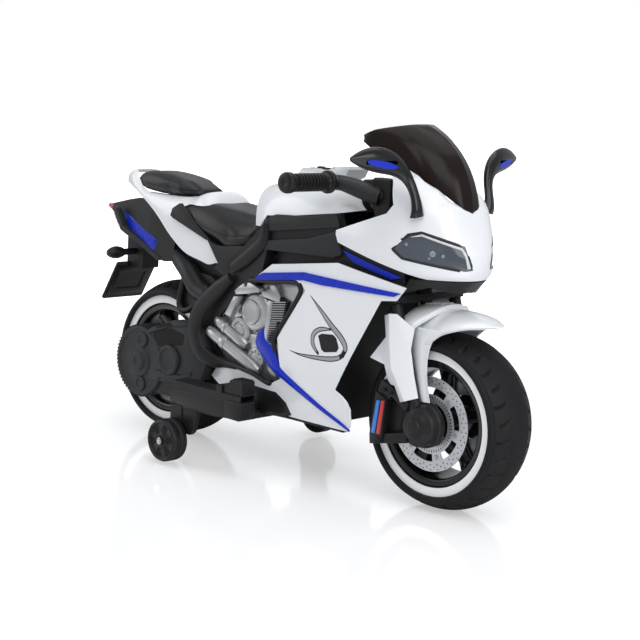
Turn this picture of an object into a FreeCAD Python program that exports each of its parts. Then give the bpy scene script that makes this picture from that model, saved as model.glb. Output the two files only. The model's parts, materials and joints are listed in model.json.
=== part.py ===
import FreeCAD, Part
import Sketcher
import math
import os
import re

# A child's battery motorbike with a faired body, two training wheels and a raked steering head.
# Millimetres. +X is forward, +Z is up, the right side is -Y, and the ground is z = 0.
# x = 0 lies midway between the tail light and the front of the front tyre.

V = FreeCAD.Vector
doc = FreeCAD.newDocument("ride_on_motorbike")
sheet = doc.addObject("Spreadsheet::Sheet", "sizes")

driving = {
    # whole machine
    "tail_overhang": 256.5,
    "wheelbase": 720,
    "panel_wall": 3,
    "panel_gap": 0.3,
    "running_gap": 0.05,
    "cut_overrun": 5,
    # wheels
    "tyre_radius": 160.5,
    "tyre_shoulder_half": 52,
    "tyre_crown_drop": 17.2,
    "tyre_side_half": 58,
    "tyre_shoulder_round": 9,
    "rim_radius": 112,
    "rim_wall": 12,
    "rim_half": 46,
    "hub_radius": 28,
    "hub_half": 50,
    "spoke_width": 36,
    "spoke_half": 15,
    "axle_radius": 6,
    "axle_half": 97,
    "ring_inner": 114.5,
    "ring_outer": 130,
    "ring_face": 47,
    "ring_depth": 2.8,
    "disc_radius": 85,
    "disc_thickness": 3,
    "disc_window_inner": 46,
    "disc_window_outer": 66,
    # rear drive
    "case_radius": 72,
    "case_inner": 62,
    "case_outer": 118,
    "case_wall": 2.5,
    "case_tongue": 30,
    "tongue_outer": 69,
    "case_arm_drop": 58,
    "case_arm_rise": 52,
    "gear_module": 2,
    "gear_face": 10,
    "gear_inner": 67,
    "gear_sleeve_radius": 16,
    "mesh_slack": 0.25,
    "motor_radius": 18,
    "motor_length": 34,
    "motor_shaft_radius": 2.5,
    # front fork and steering
    "rake_angle": 18.7,
    "fork_half": 82,
    "fork_leg_radius": 11,
    "fork_cap_radius": 45,
    "fork_cap_inner": 58,
    "fork_cap_outer": 100,
    "caliper_length": 26,
    "caliper_height": 64,
    "caliper_depth": 24,
    "caliper_setback": 74,
    "yoke_rise": 218,
    "yoke_thickness": 12,
    "yoke_depth": 30,
    "stem_radius": 15,
    "head_rise": 262,
    "head_length": 96,
    "head_wall": 10,
    "clamp_rise": 374,
    "clamp_thickness": 24,
    "clamp_depth": 44,
    "clamp_half": 74,
    "riser_height": 58,
    "riser_width": 26,
    "bar_radius": 10,
    "bar_cover_radius": 14,
    "bar_setback": 216,
    "bar_over_tank": 2,
    "bar_knee_half": 116,
    "grip_knee_gap": 8,
    "grip_radius": 14,
    "grip_flange_radius": 20.5,
    "grip_cap_radius": 18,
    "grip_length": 104,
    "grip_flange_width": 9,
    "grip_cap_width": 16,
    "fork_cover_length": 125,
    "fork_cover_height": 152,
    "fork_cover_setback": 113,
    "fork_cover_base": 198,
    "fork_cover_bulge": 2,
    "fender_length": 200,
    "fender_lead": 100,
    "fender_half_width": 67,
    "fender_top": 362,
    "fender_drop": 62,
    # side fairing
    "fairing_length": 500,
    "fairing_setback": 23,
    "fairing_base": 122,
    "fairing_height": 308,
    "fairing_half_width": 126,
    "front_pinch": 14,
    "belly_tuck": 16,
    "inlay_thickness": 2.6,
    "side_panel_recess": 24,
    "spar_depth": 22,
    "engine_depth": 30,
    # nose
    "nose_length": 261,
    "nose_lead": 58,
    "nose_base": 418,
    "nose_height": 200,
    "nose_half_width": 112,
    "lens_span": 161,
    "lens_wall": 2.4,
    "chin_height": 44,
    "chin_length": 112,
    "screen_height": 146,
    "screen_length": 198,
    "screen_half_width": 82,
    "screen_bulge": 18,
    "mirror_reach": 232,
    "mirror_rise": 96,
    "mirror_base_half": 97,
    "mirror_base_height": 527,
    "mirror_setback": 22,
    "mirror_depth": 24,
    # tank and controls
    "tank_length": 322,
    "tank_setback": 116,
    "tank_base": 446,
    "tank_height": 122,
    "tank_half_width": 112,
    "dash_length": 84,
    "dash_width": 76,
    "dash_height": 29,
    "dash_setback": 288,
    "dash_sink": 13,
    "button_radius": 8,
    "button_height": 12,
    "button_travel": 3,
    "rocker_length": 14,
    "rocker_pin_radius": 1.6,
    "rocker_pin_reach": 2.5,
    "rocker_width": 24,
    # frame
    "tub_tyre_gap": 13.5,
    "tub_half_width": 60,
    "tub_base": 128,
    "tub_height": 282,
    "tub_wall": 9,
    "tub_setback": 203,
    "bulkhead_thickness": 16,
    "shelf_thickness": 9,
    "spine_half_width": 30,
    "battery_length": 151,
    "battery_width": 65,
    "battery_height": 94,
    "board_length": 80,
    "board_width": 60,
    "board_height": 22,
    "socket_radius": 9,
    "socket_length": 22,
    # seat and tail
    "seat_length": 246,
    "seat_setback": 438,
    "seat_base": 385,
    "seat_height": 120,
    "seat_half_width": 84,
    "pad_length": 215,
    "pad_height": 44,
    "pad_half_width": 50,
    "pad_base": 500,
    "pad_lead": 72,
    "tail_length": 357,
    "tail_lead": 190,
    "tail_base": 372,
    "tail_height": 170,
    "tail_half_width": 76,
    "tail_light_length": 36,
    "tail_light_half": 27,
    "tail_light_height": 15,
    "tail_light_level": 455,
    "housing_half_width": 57,
    "plate_half_width": 55,
    "plate_height": 98,
    "plate_thickness": 4,
    "plate_tilt": 31,
    "plate_lead": 41.5,
    "plate_base": 258,
    "plate_arm_length": 52,
    "plate_arm_half": 22,
    "indicator_radius": 11.5,
    "indicator_length": 70,
    "indicator_level": 369,
    # feet
    "footrest_length": 190,
    "footrest_width": 40,
    "footrest_height": 46,
    "footrest_base": 115,
    "footrest_outer": 190,
    "footrest_setback": 343,
    "footrest_arm_length": 60,
    "pedal_length": 66,
    "pedal_thickness": 15,
    "pedal_block": 12,
    "pedal_well": 14,
    "pedal_wall": 3.5,
    "pedal_pin_radius": 3,
    "training_radius": 41.5,
    "training_width": 36,
    "training_half": 212,
    "training_setback": 518,
    "training_lift": 6.5,
    "training_pin_radius": 5,
    "bracket_width": 32,
    "bracket_thickness": 13,
    "screw_radius": 4,
    "screw_head": 2.2,
}

for row, (alias, number_text) in enumerate(driving.items(), start=1):
    sheet.set("A%d" % row, alias)
    sheet.set("B%d" % row, str(number_text))
    sheet.setAlias("B%d" % row, alias)

calculator = doc.addObject("App::FeaturePython", "calculator")
calculator.addProperty("App::PropertyFloat", "result")
doc.recompute()

nodes = []


def bound(text):
    # a sum written in size names, as an expression on the sheet's cells
    return re.sub(r"[a-z][a-z_]*", lambda word: "sizes." + word.group() if word.group() in driving
                  else word.group(), text)


def mm(text):
    # the present value of such a sum
    calculator.setExpression("result", bound(text))
    calculator.recompute()
    return calculator.result


front_x = "((wheelbase + tail_overhang - tyre_radius) / 2)"
rear_x = "((tail_overhang - tyre_radius - wheelbase) / 2)"
axle_z = "tyre_radius"
wall = mm("panel_wall")
gap = mm("panel_gap")
overrun = mm("cut_overrun")
fx = mm(front_x)
rx = mm(rear_x)
az = mm(axle_z)
rake = math.radians(mm("rake_angle"))
axis_dir = V(-math.sin(rake), 0, math.cos(rake))


def keep(node, obj):
    # the finished sub-part, named as its file will be
    obj.Label = node
    nodes.append(obj)
    return obj


def primitive(kind, name, sizes_used, at, turn=None):
    obj = doc.addObject("Part::" + kind, name)
    if turn:
        obj.Placement = FreeCAD.Placement(V(), turn)
    for prop, text in sizes_used.items():
        obj.setExpression(prop, bound(text))
    for letter, text in zip("xyz", at):
        obj.setExpression("Placement.Base." + letter, bound(text))
    return obj


along_y = FreeCAD.Rotation(V(1, 0, 0), -90)


def rod_y(name, radius, start, end, x, z):
    # a round bar that runs along Y from start to end
    span = "(%s) - (%s)" % (end, start)
    return primitive("Cylinder", name, {"Radius": radius, "Height": span}, (x, start, z), along_y)


def block(name, low, high):
    # a box given by its two corners
    span = {}
    for prop, a, b in zip(("Length", "Width", "Height"), low, high):
        span[prop] = "(%s) - (%s)" % (b, a)
    return primitive("Box", name, span, low)


def fuse(name, parts):
    obj = doc.addObject("Part::MultiFuse", name)
    obj.Shapes = parts
    return obj


def cut(name, base, tool):
    obj = doc.addObject("Part::Cut", name)
    obj.Base = base
    obj.Tool = tool
    return obj


def rounded(name, base, radius, edges):
    # rounds the edges that a test picks
    doc.recompute()
    obj = doc.addObject("Part::Fillet", name)
    obj.Base = base
    size = mm(radius)
    obj.Edges = [(i, size, size) for i, edge in enumerate(base.Shape.Edges, start=1) if edges(edge)]
    return obj


def mirrored_pair(name, obj):
    # the piece and its mirror image on the other side, as one group of solids
    other = doc.addObject("Part::Mirroring", name + "_other")
    other.Source = obj
    other.Normal = V(0, 1, 0)
    both = doc.addObject("Part::Compound", name)
    both.Links = [obj, other]
    return both


def shaped(name, shape):
    obj = doc.addObject("Part::Feature", name)
    obj.Shape = shape
    return obj


def both_sides(shape):
    return Part.makeCompound([shape, shape.mirror(V(), V(0, 1, 0))])


# Sketched bodies

def new_body(name, at=("0", "0", "0")):
    body = doc.addObject("PartDesign::Body", name)
    for letter, text in zip("xyz", at):
        body.setExpression("Placement.Base." + letter, bound(text))
    return body


def new_sketch(body, name, role):
    sketch = body.newObject("Sketcher::SketchObject", name)
    plane = [item for item in body.Origin.OriginFeatures if item.Role == role][0]
    sketch.AttachmentSupport = (plane, [""])
    sketch.MapMode = "FlatFace"
    return sketch


def pin(sketch, kind, geometry, point, text):
    # ties one coordinate of a point to the sheet
    index = sketch.addConstraint(Sketcher.Constraint(kind, -1, 1, geometry, point, mm(text)))
    sketch.setExpression("Constraints[%d]" % index, bound(text))


def draw_loop(sketch, points):
    # a closed outline: (across, up) or (across, up, radius of the arc to the next point)
    places = [V(mm(p[0]), mm(p[1]), 0) for p in points]
    count = len(points)
    for i, point in enumerate(points):
        a, b = places[i], places[(i + 1) % count]
        if len(point) == 2:
            sketch.addGeometry(Part.LineSegment(a, b))
            continue
        radius = mm(point[2])
        chord = b - a
        out = V(chord.y, -chord.x, 0).normalize()
        height = radius - math.sqrt(radius ** 2 - chord.Length ** 2 / 4)
        top = (a + b) / 2 + out * height
        sketch.addGeometry(Part.ArcOfCircle(a, top, b))
    for i, point in enumerate(points):
        curve = sketch.Geometry[i]
        first = 1 if (curve.StartPoint - places[i]).Length < (curve.EndPoint - places[i]).Length else 2
        after = (i + 1) % count
        other = sketch.Geometry[after]
        near = 1 if (other.StartPoint - places[after]).Length < (other.EndPoint - places[after]).Length else 2
        sketch.addConstraint(Sketcher.Constraint("Coincident", i, 3 - first, after, near))
        pin(sketch, "DistanceX", i, first, point[0])
        pin(sketch, "DistanceY", i, first, point[1])
        if len(point) == 3:
            index = sketch.addConstraint(Sketcher.Constraint("Radius", i, mm(point[2])))
            sketch.setExpression("Constraints[%d]" % index, bound(point[2]))


def draw_circle(sketch, radius, across="0", up="0"):
    index = sketch.addGeometry(Part.Circle(V(mm(across), mm(up), 0), V(0, 0, 1), mm(radius)))
    if across == "0" and up == "0":
        sketch.addConstraint(Sketcher.Constraint("Coincident", index, 3, -1, 1))
    else:
        pin(sketch, "DistanceX", index, 3, across)
        pin(sketch, "DistanceY", index, 3, up)
    tied = sketch.addConstraint(Sketcher.Constraint("Radius", index, mm(radius)))
    sketch.setExpression("Constraints[%d]" % tied, bound(radius))


def revolve(body, name, points):
    # a turned shape: the outline's across is along Y, its up is the radius
    sketch = new_sketch(body, name + "_profile", "YZ_Plane")
    draw_loop(sketch, points)
    feature = body.newObject("PartDesign::Revolution", name)
    feature.Profile = sketch
    feature.ReferenceAxis = (sketch, ["H_Axis"])
    feature.Angle = 360
    return feature


def pad(body, name, draw, length, kind="PartDesign::Pad"):
    # a plate or a cut across the body's middle plane, drawn as seen from the side
    sketch = new_sketch(body, name + "_outline", "XZ_Plane")
    draw(sketch)
    feature = body.newObject(kind, name)
    feature.Profile = sketch
    feature.Midplane = True
    feature.setExpression("Length", bound(length))
    return feature


def repeat(body, name, feature, count):
    pattern = body.newObject("PartDesign::PolarPattern", name)
    pattern.Originals = [feature]
    pattern.Axis = (feature.Profile[0], ["N_Axis"])
    pattern.Angle = 360
    pattern.Occurrences = count
    body.Tip = pattern
    return pattern


# Curved skins

def spread(low, high, count):
    return [low + (high - low) * i / (count - 1) for i in range(count)]


def smooth_at(table, at):
    # a smooth curve through a table's points, as a running cubic
    places = [row[0] for row in table]
    values = [row[1] for row in table]
    last = len(table) - 1
    i = 0
    while i < last - 1 and at > places[i + 1]:
        i += 1
    slopes = []
    for k in (i, i + 1):
        a, b = max(k - 1, 0), min(k + 1, last)
        slopes.append((values[b] - values[a]) / (places[b] - places[a]))
    step = places[i + 1] - places[i]
    t = (at - places[i]) / step
    return (values[i] * (1 + 2 * t) * (1 - t) ** 2 + slopes[0] * step * t * (1 - t) ** 2
            + values[i + 1] * t * t * (3 - 2 * t) + slopes[1] * step * t * t * (t - 1))


def sheet_through(grid):
    surface = Part.BSplineSurface()
    surface.interpolate(grid)
    return surface


def skin(outer, inner):
    # a closed wall between two grids of points of the same shape
    a, b = sheet_through(outer), sheet_through(inner)
    faces = [a.toShape(), b.toShape()]
    u0, u1, v0, v1 = a.bounds()
    s0, s1, t0, t1 = b.bounds()
    rims = [(a.uIso(u0), b.uIso(s0)), (a.uIso(u1), b.uIso(s1)),
            (a.vIso(v0), b.vIso(t0)), (a.vIso(v1), b.vIso(t1))]
    for one, two in rims:
        faces.append(Part.makeRuledSurface(one.toShape(), two.toShape()))
    shell = Part.makeShell(faces)
    shell.sewShape()
    body = Part.makeSolid(Part.Shell(shell.Faces))
    if body.Volume < 0:
        body.reverse()
    return body


def wall_of(point, us, vs, outside, inside):
    # the wall between two depths of a surface; point(u, v) gives a place and its outward normal
    outer, inner = [], []
    for u in us:
        row = [point(u, v) for v in vs]
        outer.append([place + normal * outside for place, normal in row])
        inner.append([place + normal * inside for place, normal in row])
    return skin(outer, inner)


def with_normals(place, step=1e-3):
    # adds the outward normal of a surface given as place(u, v), by small steps
    def point(u, v):
        du = place(u + step, v) - place(u - step, v)
        dv = place(u, v + step) - place(u, v - step)
        return place(u, v), du.cross(dv).normalize()
    return point


def loop(box, runs, y=0):
    # a closed wire in side view; each run of shares is a line or, with more points, a smooth curve
    x0, dx, z0, dz = box
    edges = []
    for run in runs:
        points = [V(x0 + dx * a, y, z0 + dz * b) for a, b in run]
        if len(points) == 2:
            edges.append(Part.LineSegment(*points).toShape())
        else:
            spline = Part.BSplineCurve()
            spline.interpolate(points)
            edges.append(spline.toShape())
    return Part.Wire(edges)


def corners(points):
    # straight runs round a list of corner shares
    return [[a, b] for a, b in zip(points, points[1:] + points[:1])]


def prism(box, runs, low, high):
    # a side outline pushed through from one y to another
    face = Part.Face(loop(box, runs, low))
    return face.extrude(V(0, high - low, 0))


def rod(start, end, radius):
    return Part.makeCylinder(radius, (end - start).Length, start, end - start)


def turned(radius, height, place, direction):
    return Part.makeCylinder(radius, height, place, direction)


# Wheels

def make_wheel(prefix, x):
    at = (x, "0", axle_z)
    tyre = new_body(prefix + "_tyre_body", at)
    crown = "(tyre_shoulder_half ^ 2 + tyre_crown_drop ^ 2) / (2 * tyre_crown_drop)"
    shoulder = "tyre_radius - tyre_crown_drop"
    inside = "rim_radius + panel_gap"
    side = "ring_outer + panel_gap"
    revolve(tyre, prefix + "_tyre_turn", [
        ("-ring_face", inside), ("ring_face", inside), ("ring_face", side),
        ("tyre_side_half", side, "tyre_shoulder_round"), ("tyre_shoulder_half", shoulder, crown),
        ("-tyre_shoulder_half", shoulder, "tyre_shoulder_round"), ("-tyre_side_half", side),
        ("-ring_face", side)])
    keep(prefix + "_tyre", tyre)

    rim = new_body(prefix + "_rim_body", at)
    bore = "axle_radius + running_gap"
    revolve(rim, prefix + "_hub_turn", [
        ("-hub_half", bore), ("hub_half", bore), ("hub_half", "hub_radius"), ("-hub_half", "hub_radius")])
    reach = "rim_radius - rim_wall / 2"

    def spoke(sketch):
        draw_loop(sketch, [("-spoke_width / 2", "hub_radius * 0.8"), ("spoke_width / 2", "hub_radius * 0.8"),
                           ("spoke_width / 2", reach), ("-spoke_width / 2", reach)])
    arm = pad(rim, prefix + "_spoke", spoke, "2 * spoke_half")
    repeat(rim, prefix + "_spokes", arm, 5)
    revolve(rim, prefix + "_barrel_turn", [
        ("-rim_half", "rim_radius - rim_wall"), ("rim_half", "rim_radius - rim_wall"),
        ("rim_half", "rim_radius"), ("-rim_half", "rim_radius")])
    keep(prefix + "_rim", rim)

    ring_start = "ring_face + panel_gap"
    ring_end = "ring_face + ring_depth"
    plate = rod_y(prefix + "_ring_plate", "ring_outer", ring_start, ring_end, x, axle_z)
    eye = rod_y(prefix + "_ring_eye", "ring_inner", "ring_face - cut_overrun", ring_end + " + cut_overrun",
                x, axle_z)
    keep(prefix + "_rings", mirrored_pair(prefix + "_ring_pair", cut(prefix + "_ring", plate, eye)))


make_wheel("front", front_x)
make_wheel("rear", rear_x)

# Front discs: a thin plate on each hub end, with six windows
disc = new_body("front_disc_body", (front_x, "hub_half + disc_thickness / 2", axle_z))


def disc_outline(sketch):
    draw_circle(sketch, "disc_radius")
    draw_circle(sketch, "axle_radius + panel_gap")


def disc_window(sketch):
    narrow, wide = "disc_window_inner * 0.34", "disc_window_outer * 0.38"
    draw_loop(sketch, [("-" + narrow, "disc_window_inner"), (narrow, "disc_window_inner"),
                       (wide, "disc_window_outer"), ("-" + wide, "disc_window_outer")])


pad(disc, "front_disc_plate", disc_outline, "disc_thickness")
window = pad(disc, "front_disc_window", disc_window, "disc_thickness + 2 * cut_overrun",
             "PartDesign::Pocket")
repeat(disc, "front_disc_windows", window, 6)
keep("front_discs", mirrored_pair("front_disc_pair", disc))

# Axles, with collars that keep the front wheel central
front_shaft = rod_y("front_shaft", "axle_radius", "-axle_half", "axle_half", front_x, axle_z)
collar_start = "hub_half + disc_thickness + panel_gap"
collar = rod_y("front_collar", "axle_radius * 2", collar_start, "fork_cap_inner - panel_gap", front_x,
               axle_z)
keep("front_axle", fuse("front_axle_all", [front_shaft, mirrored_pair("front_collars", collar)]))
rear_shaft = rod_y("rear_shaft", "axle_radius", "-case_outer", "case_outer", rear_x, axle_z)
rear_collar = rod_y("rear_collar", "axle_radius * 2", "-case_inner + panel_gap", "-hub_half - panel_gap",
                    rear_x, axle_z)
keep("rear_axle", fuse("rear_axle_all", [rear_shaft, rear_collar]))

# Fork legs: raked tubes that end in round hub caps, with a caliper block behind each


def along_axis(rise, y=0.0):
    # a point on the steering axis's plane, by its distance up the axis from the front axle
    return V(fx, y, az) + axis_dir * rise


cap_in, cap_out = mm("fork_cap_inner"), mm("fork_cap_outer")
leg_y = mm("fork_half")
leg_r = mm("fork_leg_radius")
yoke_s, yoke_t = mm("yoke_rise"), mm("yoke_thickness")


def fork_leg():
    cap = turned(mm("fork_cap_radius"), cap_out - cap_in, V(fx, -cap_out, az), V(0, 1, 0))
    leg = rod(along_axis(0, -leg_y), along_axis(yoke_s - gap, -leg_y), leg_r)
    block_x = fx - mm("caliper_setback") - mm("caliper_length")
    depth = mm("caliper_depth")
    caliper = Part.makeBox(mm("caliper_length"), depth, mm("caliper_height"),
                           V(block_x, -cap_out, az - mm("caliper_height") / 2))
    arm_height = mm("fork_cap_radius")
    arm = Part.makeBox(mm("caliper_setback"), depth / 2, arm_height,
                       V(block_x + mm("caliper_length") / 2, -cap_out + depth / 4, az - arm_height / 2))
    bore = turned(mm("axle_radius") + gap, mm("axle_half") - cap_in + 2 * gap + overrun,
                  V(fx, -mm("axle_half") - gap, az), V(0, 1, 0))
    caliper = caliper.makeFillet(mm("caliper_length") / 4, [e for e in caliper.Edges if is_along(e, V(0,
                                                                                                      1, 0))])
    return cap.fuse([leg, caliper, arm]).cut(bore).removeSplitter()


def is_along(edge, direction):
    if not isinstance(edge.Curve, Part.Line):
        return False
    return abs(abs(edge.tangentAt(edge.FirstParameter).dot(direction)) - 1) < 1e-6


keep("fork_legs", shaped("fork_leg_pair", both_sides(fork_leg())))

# Steering stem: yoke over the wheel, stem through the head, clamp on top


def raked_box(rise, thickness, depth, half_width):
    # a plate square to the steering axis
    plate = Part.makeBox(depth, 2 * half_width, thickness, V(-depth / 2, -half_width, 0))
    plate = plate.makeFillet(thickness / 3, [e for e in plate.Edges if is_along(e, V(0, 0, 1))])
    plate.Placement = FreeCAD.Placement(along_axis(rise), FreeCAD.Rotation(V(0, 1, 0), -math.degrees(rake)))
    return plate


stem_r = mm("stem_radius")
clamp_s, clamp_t = mm("clamp_rise"), mm("clamp_thickness")
yoke = raked_box(yoke_s, yoke_t, mm("yoke_depth"), leg_y + leg_r)
stem = rod(along_axis(yoke_s), along_axis(clamp_s - gap), stem_r)
fender_boss = rod(along_axis(yoke_s - 2 * leg_r), along_axis(yoke_s + gap), leg_r)

# Front fender: an arch over the tyre that runs out to a bill ahead of it
fender_x0 = fx + mm("fender_lead") - mm("fender_length")
fender_width_shares = [(0, 0.84), (0.25, 1.0), (0.55, 1.0), (0.74, 0.86), (0.9, 0.5), (1, 0.14)]
fender_top_shares = [(0, 0.936), (0.27, 0.987), (0.56, 1.0), (0.8, 0.986), (1, 0.957)]
fender_drop_shares = [(0, 0.8), (0.25, 1.0), (0.45, 0.95), (0.6, 0.6), (0.8, 0.28), (1, 0.05)]


def fender_place(s, t, inside=0.0):
    # s runs from the rear end to the bill, t across; inside moves the surface in
    x = fender_x0 + mm_fender["length"] * s
    half = mm_fender["half"] * smooth_at(fender_width_shares, s) - inside
    top = mm_fender["top"] * smooth_at(fender_top_shares, s) - inside
    drop = mm_fender["drop"] * smooth_at(fender_drop_shares, s)
    angle = t * math.pi / 2
    return V(x, half * math.sin(angle), top - drop * (1 - math.cos(angle)))


def fender_wall(outside, inside):
    grids = []
    for depth in (outside, inside):
        grids.append([[fender_place(s, t, depth) for t in spread(-1.0, 1.0, 13)] for s in spread(0.0,
                                                                                                 1.0, 13)])
    return skin(*grids)


mm_fender = {"length": mm("fender_length"), "half": mm("fender_half_width"), "top": mm("fender_top"),
             "drop": mm("fender_drop")}
fender = fender_wall(0, wall)
keep("front_fender", shaped("front_fender_shell", fender))

over_fender = fender_wall(-gap, mm("fender_half_width") / 4)
keep("steering_stem", shaped("steering_stem_all", yoke.fuse([stem, fender_boss]).cut(over_fender)))

# Fork covers: white shields outside each leg, with a swept rear wing
cover_box = (fx - mm("fork_cover_setback"), mm("fork_cover_length"),
             mm("fork_cover_base"), mm("fork_cover_height"))
cover_shares = [(0.264, 0.974), (0.568, 1.0), (0.904, 0.816), (0.944, 0.54), (1.0, 0.09), (0.656, 0.0),
                (0.448, 0.184), (0.392, 0.217), (0.0, 0.461), (0.272, 0.81)]


def cover_place(u, v):
    x = cover_box[0] + cover_box[1] * u
    z = cover_box[2] + cover_box[3] * v
    bend = mm_cover["bulge"] * (2 * u - 1) ** 2
    return V(x, -(mm_cover["face"] - bend), z)


mm_cover = {"bulge": mm("fork_cover_bulge"),
            "face": leg_y + leg_r + mm("fork_cover_bulge") / 2 + wall + gap}
cover = wall_of(with_normals(cover_place), spread(-0.1, 1.1, 9), spread(-0.1, 1.1, 5), 0, -wall)
cover = cover.common(prism(cover_box, corners(cover_shares), -2 * cap_out, 0))
cap_room = turned(mm("fork_cap_radius") + gap, cap_out, V(fx, -cap_out - gap, az), V(0, 1, 0))
keep("fork_covers", shaped("fork_cover_pair", both_sides(cover.cut(cap_room))))

# Handlebar: a clamp bridge, two risers and swept bars
bar_level = "(tank_base + tank_height + bar_over_tank)"
bar_reach = "(bar_knee_half + grip_knee_gap + grip_length)"
bar_x, bar_z = fx - mm("bar_setback"), mm(bar_level)
bar_r, knee_y, bar_end = mm("bar_radius"), mm("bar_knee_half"), mm(bar_reach)
clamp = raked_box(clamp_s, clamp_t, mm("clamp_depth"), mm("clamp_half"))
riser_w = mm("riser_width")


def bar_half():
    top = along_axis(clamp_s + clamp_t, -mm("clamp_half") + riser_w / 2)
    riser = Part.makeBox(mm("clamp_depth"), riser_w, mm("riser_height"),
                         top - V(mm("clamp_depth") / 2, riser_w / 2, mm("clamp_thickness") / 2))
    riser = riser.makeFillet(riser_w / 6, riser.Edges)
    root = top + V(0, 0, mm("riser_height") / 2 - mm("bar_cover_radius"))
    knee = V(bar_x, -knee_y, bar_z)
    end = V(bar_x, -bar_end + mm("grip_cap_width") / 2, bar_z)
    bend = Part.BSplineCurve()
    bend.interpolate([root, knee], InitialTangent=(knee - root), FinalTangent=(end - knee))
    start_ring = Part.Wire(Part.Circle(root, knee - root, mm("bar_cover_radius")).toShape())
    swept = Part.Wire(bend.toShape()).makePipeShell([start_ring], True, False)
    return riser.fuse([swept, rod(knee, end, bar_r)])


right_bar = bar_half()
keep("handlebar", shaped("handlebar_all", clamp.fuse([right_bar, right_bar.mirror(V(), V(0, 1, 0))])))

grip_z = bar_level
grip_x = front_x + " - bar_setback"
grip_in = "-" + bar_reach + " + grip_length"
tube = rod_y("grip_tube", "grip_radius", "-" + bar_reach, grip_in, grip_x, grip_z)
flange = rod_y("grip_flange", "grip_flange_radius", grip_in + " - grip_flange_width", grip_in, grip_x,
               grip_z)
end_cap = rod_y("grip_end", "grip_cap_radius", "-" + bar_reach, "-" + bar_reach + " + grip_cap_width",
                grip_x, grip_z)
grip_bore = rod_y("grip_bore", "bar_radius + panel_gap",
                  "-" + bar_reach + " + grip_cap_width / 2 - panel_gap",
                  grip_in + " + cut_overrun", grip_x, grip_z)
grip = cut("grip", fuse("grip_solid", [tube, flange, end_cap]), grip_bore)
keep("grips", mirrored_pair("grip_pair", grip))

# Side fairings: one swelling surface carries the panel, its inlays, the side panel and the spar
fairing_box = (fx - mm("fairing_setback") - mm("fairing_length"), mm("fairing_length"),
               mm("fairing_base"), mm("fairing_height"))
side_half = mm("fairing_half_width")
pinch, tuck = mm("front_pinch"), mm("belly_tuck")


def side_place(a, b):
    # right side: half width falls away towards both ends and under the belly
    along = (a - 0.51) / 0.46
    under = max(0.0, 0.545 - b) / 0.52
    half = side_half - pinch * along ** 2 - tuck * under ** 2
    return V(fairing_box[0] + fairing_box[1] * a, -half, fairing_box[2] + fairing_box[3] * b)


def side_wall(a_low, a_high, b_low, b_high, outside, inside):
    # a wall that follows the side surface, at two depths measured along Y
    outer, inner = [], []
    for a in spread(a_low, a_high, 11):
        row = [side_place(a, b) for b in spread(b_low, b_high, 9)]
        outer.append([p - V(0, outside, 0) for p in row])
        inner.append([p - V(0, inside, 0) for p in row])
    return skin(outer, inner)


def side_piece(runs, outside, inside):
    a = [p[0] for run in runs for p in run]
    b = [p[1] for run in runs for p in run]
    sheet_wall = side_wall(min(a) - 0.08, max(a) + 0.08, min(b) - 0.08, max(b) + 0.08, outside, inside)
    return sheet_wall.common(prism(fairing_box, runs, -2 * side_half, 0))


fairing_shares = [(0.276, 0.828), (0.364, 0.925), (0.69, 0.997), (0.996, 0.912), (0.958, 0.831),
                  (0.888, 0.818), (0.694, 0.244), (0.732, 0.214), (0.768, 0.156), (0.762, 0.045),
                  (0.742, 0.006), (0.47, 0.008), (0.238, 0.018), (0.11, 0.034), (0.0, 0.13), (0.054, 0.221),
                  (0.13, 0.237), (0.364, 0.185), (0.424, 0.234), (0.426, 0.302), (0.41, 0.484),
                  (0.544, 0.802), (0.522, 0.844), (0.26, 0.805)]
fairing = side_piece(corners(fairing_shares), 0, -wall)
keep("fairing_right", shaped("fairing_right_shell", fairing))
keep("fairing_left", shaped("fairing_left_shell", fairing.mirror(V(), V(0, 1, 0))))

inlay_out = mm("inlay_thickness") + gap
stripe_shares = [(0.276, 0.828), (0.32, 0.864), (0.534, 0.912), (0.618, 0.906), (0.978, 0.877),
                 (0.95, 0.854), (0.626, 0.854), (0.536, 0.864), (0.278, 0.812)]
stripe = side_piece(corners(stripe_shares), inlay_out, gap)
keep("fairing_stripes", shaped("fairing_stripe_pair", both_sides(stripe)))

sweep_runs = [[(0.336, 0.519), (0.286, 0.432)],
              [(0.286, 0.432), (0.31, 0.37), (0.354, 0.321), (0.414, 0.237)],
              [(0.414, 0.237), (0.528, 0.16), (0.75, 0.008)],
              [(0.75, 0.008), (0.762, 0.045)],
              [(0.762, 0.045), (0.53, 0.221), (0.432, 0.299)],
              [(0.432, 0.299), (0.41, 0.36), (0.382, 0.451), (0.336, 0.519)]]
sweep = side_piece(sweep_runs, inlay_out, gap)
keep("fairing_sweeps", shaped("fairing_sweep_pair", both_sides(sweep)))

recess = mm("side_panel_recess")
panel_shares = [(0.336, 1.2), (0.424, 1.224), (0.512, 1.234), (0.652, 1.279), (0.658, 1.156),
                (0.948, 1.02), (0.948, 0.908), (0.676, 0.974), (0.346, 0.903), (0.336, 1.032)]
slot_shares = [(0.352, 1.075), (0.402, 1.13), (0.554, 1.172), (0.64, 1.17), (0.558, 1.104)]
side_panel = side_piece(corners(panel_shares), -recess, -recess - wall)
side_panel = side_panel.cut(prism(fairing_box, corners(slot_shares), -2 * side_half, 0))

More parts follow.
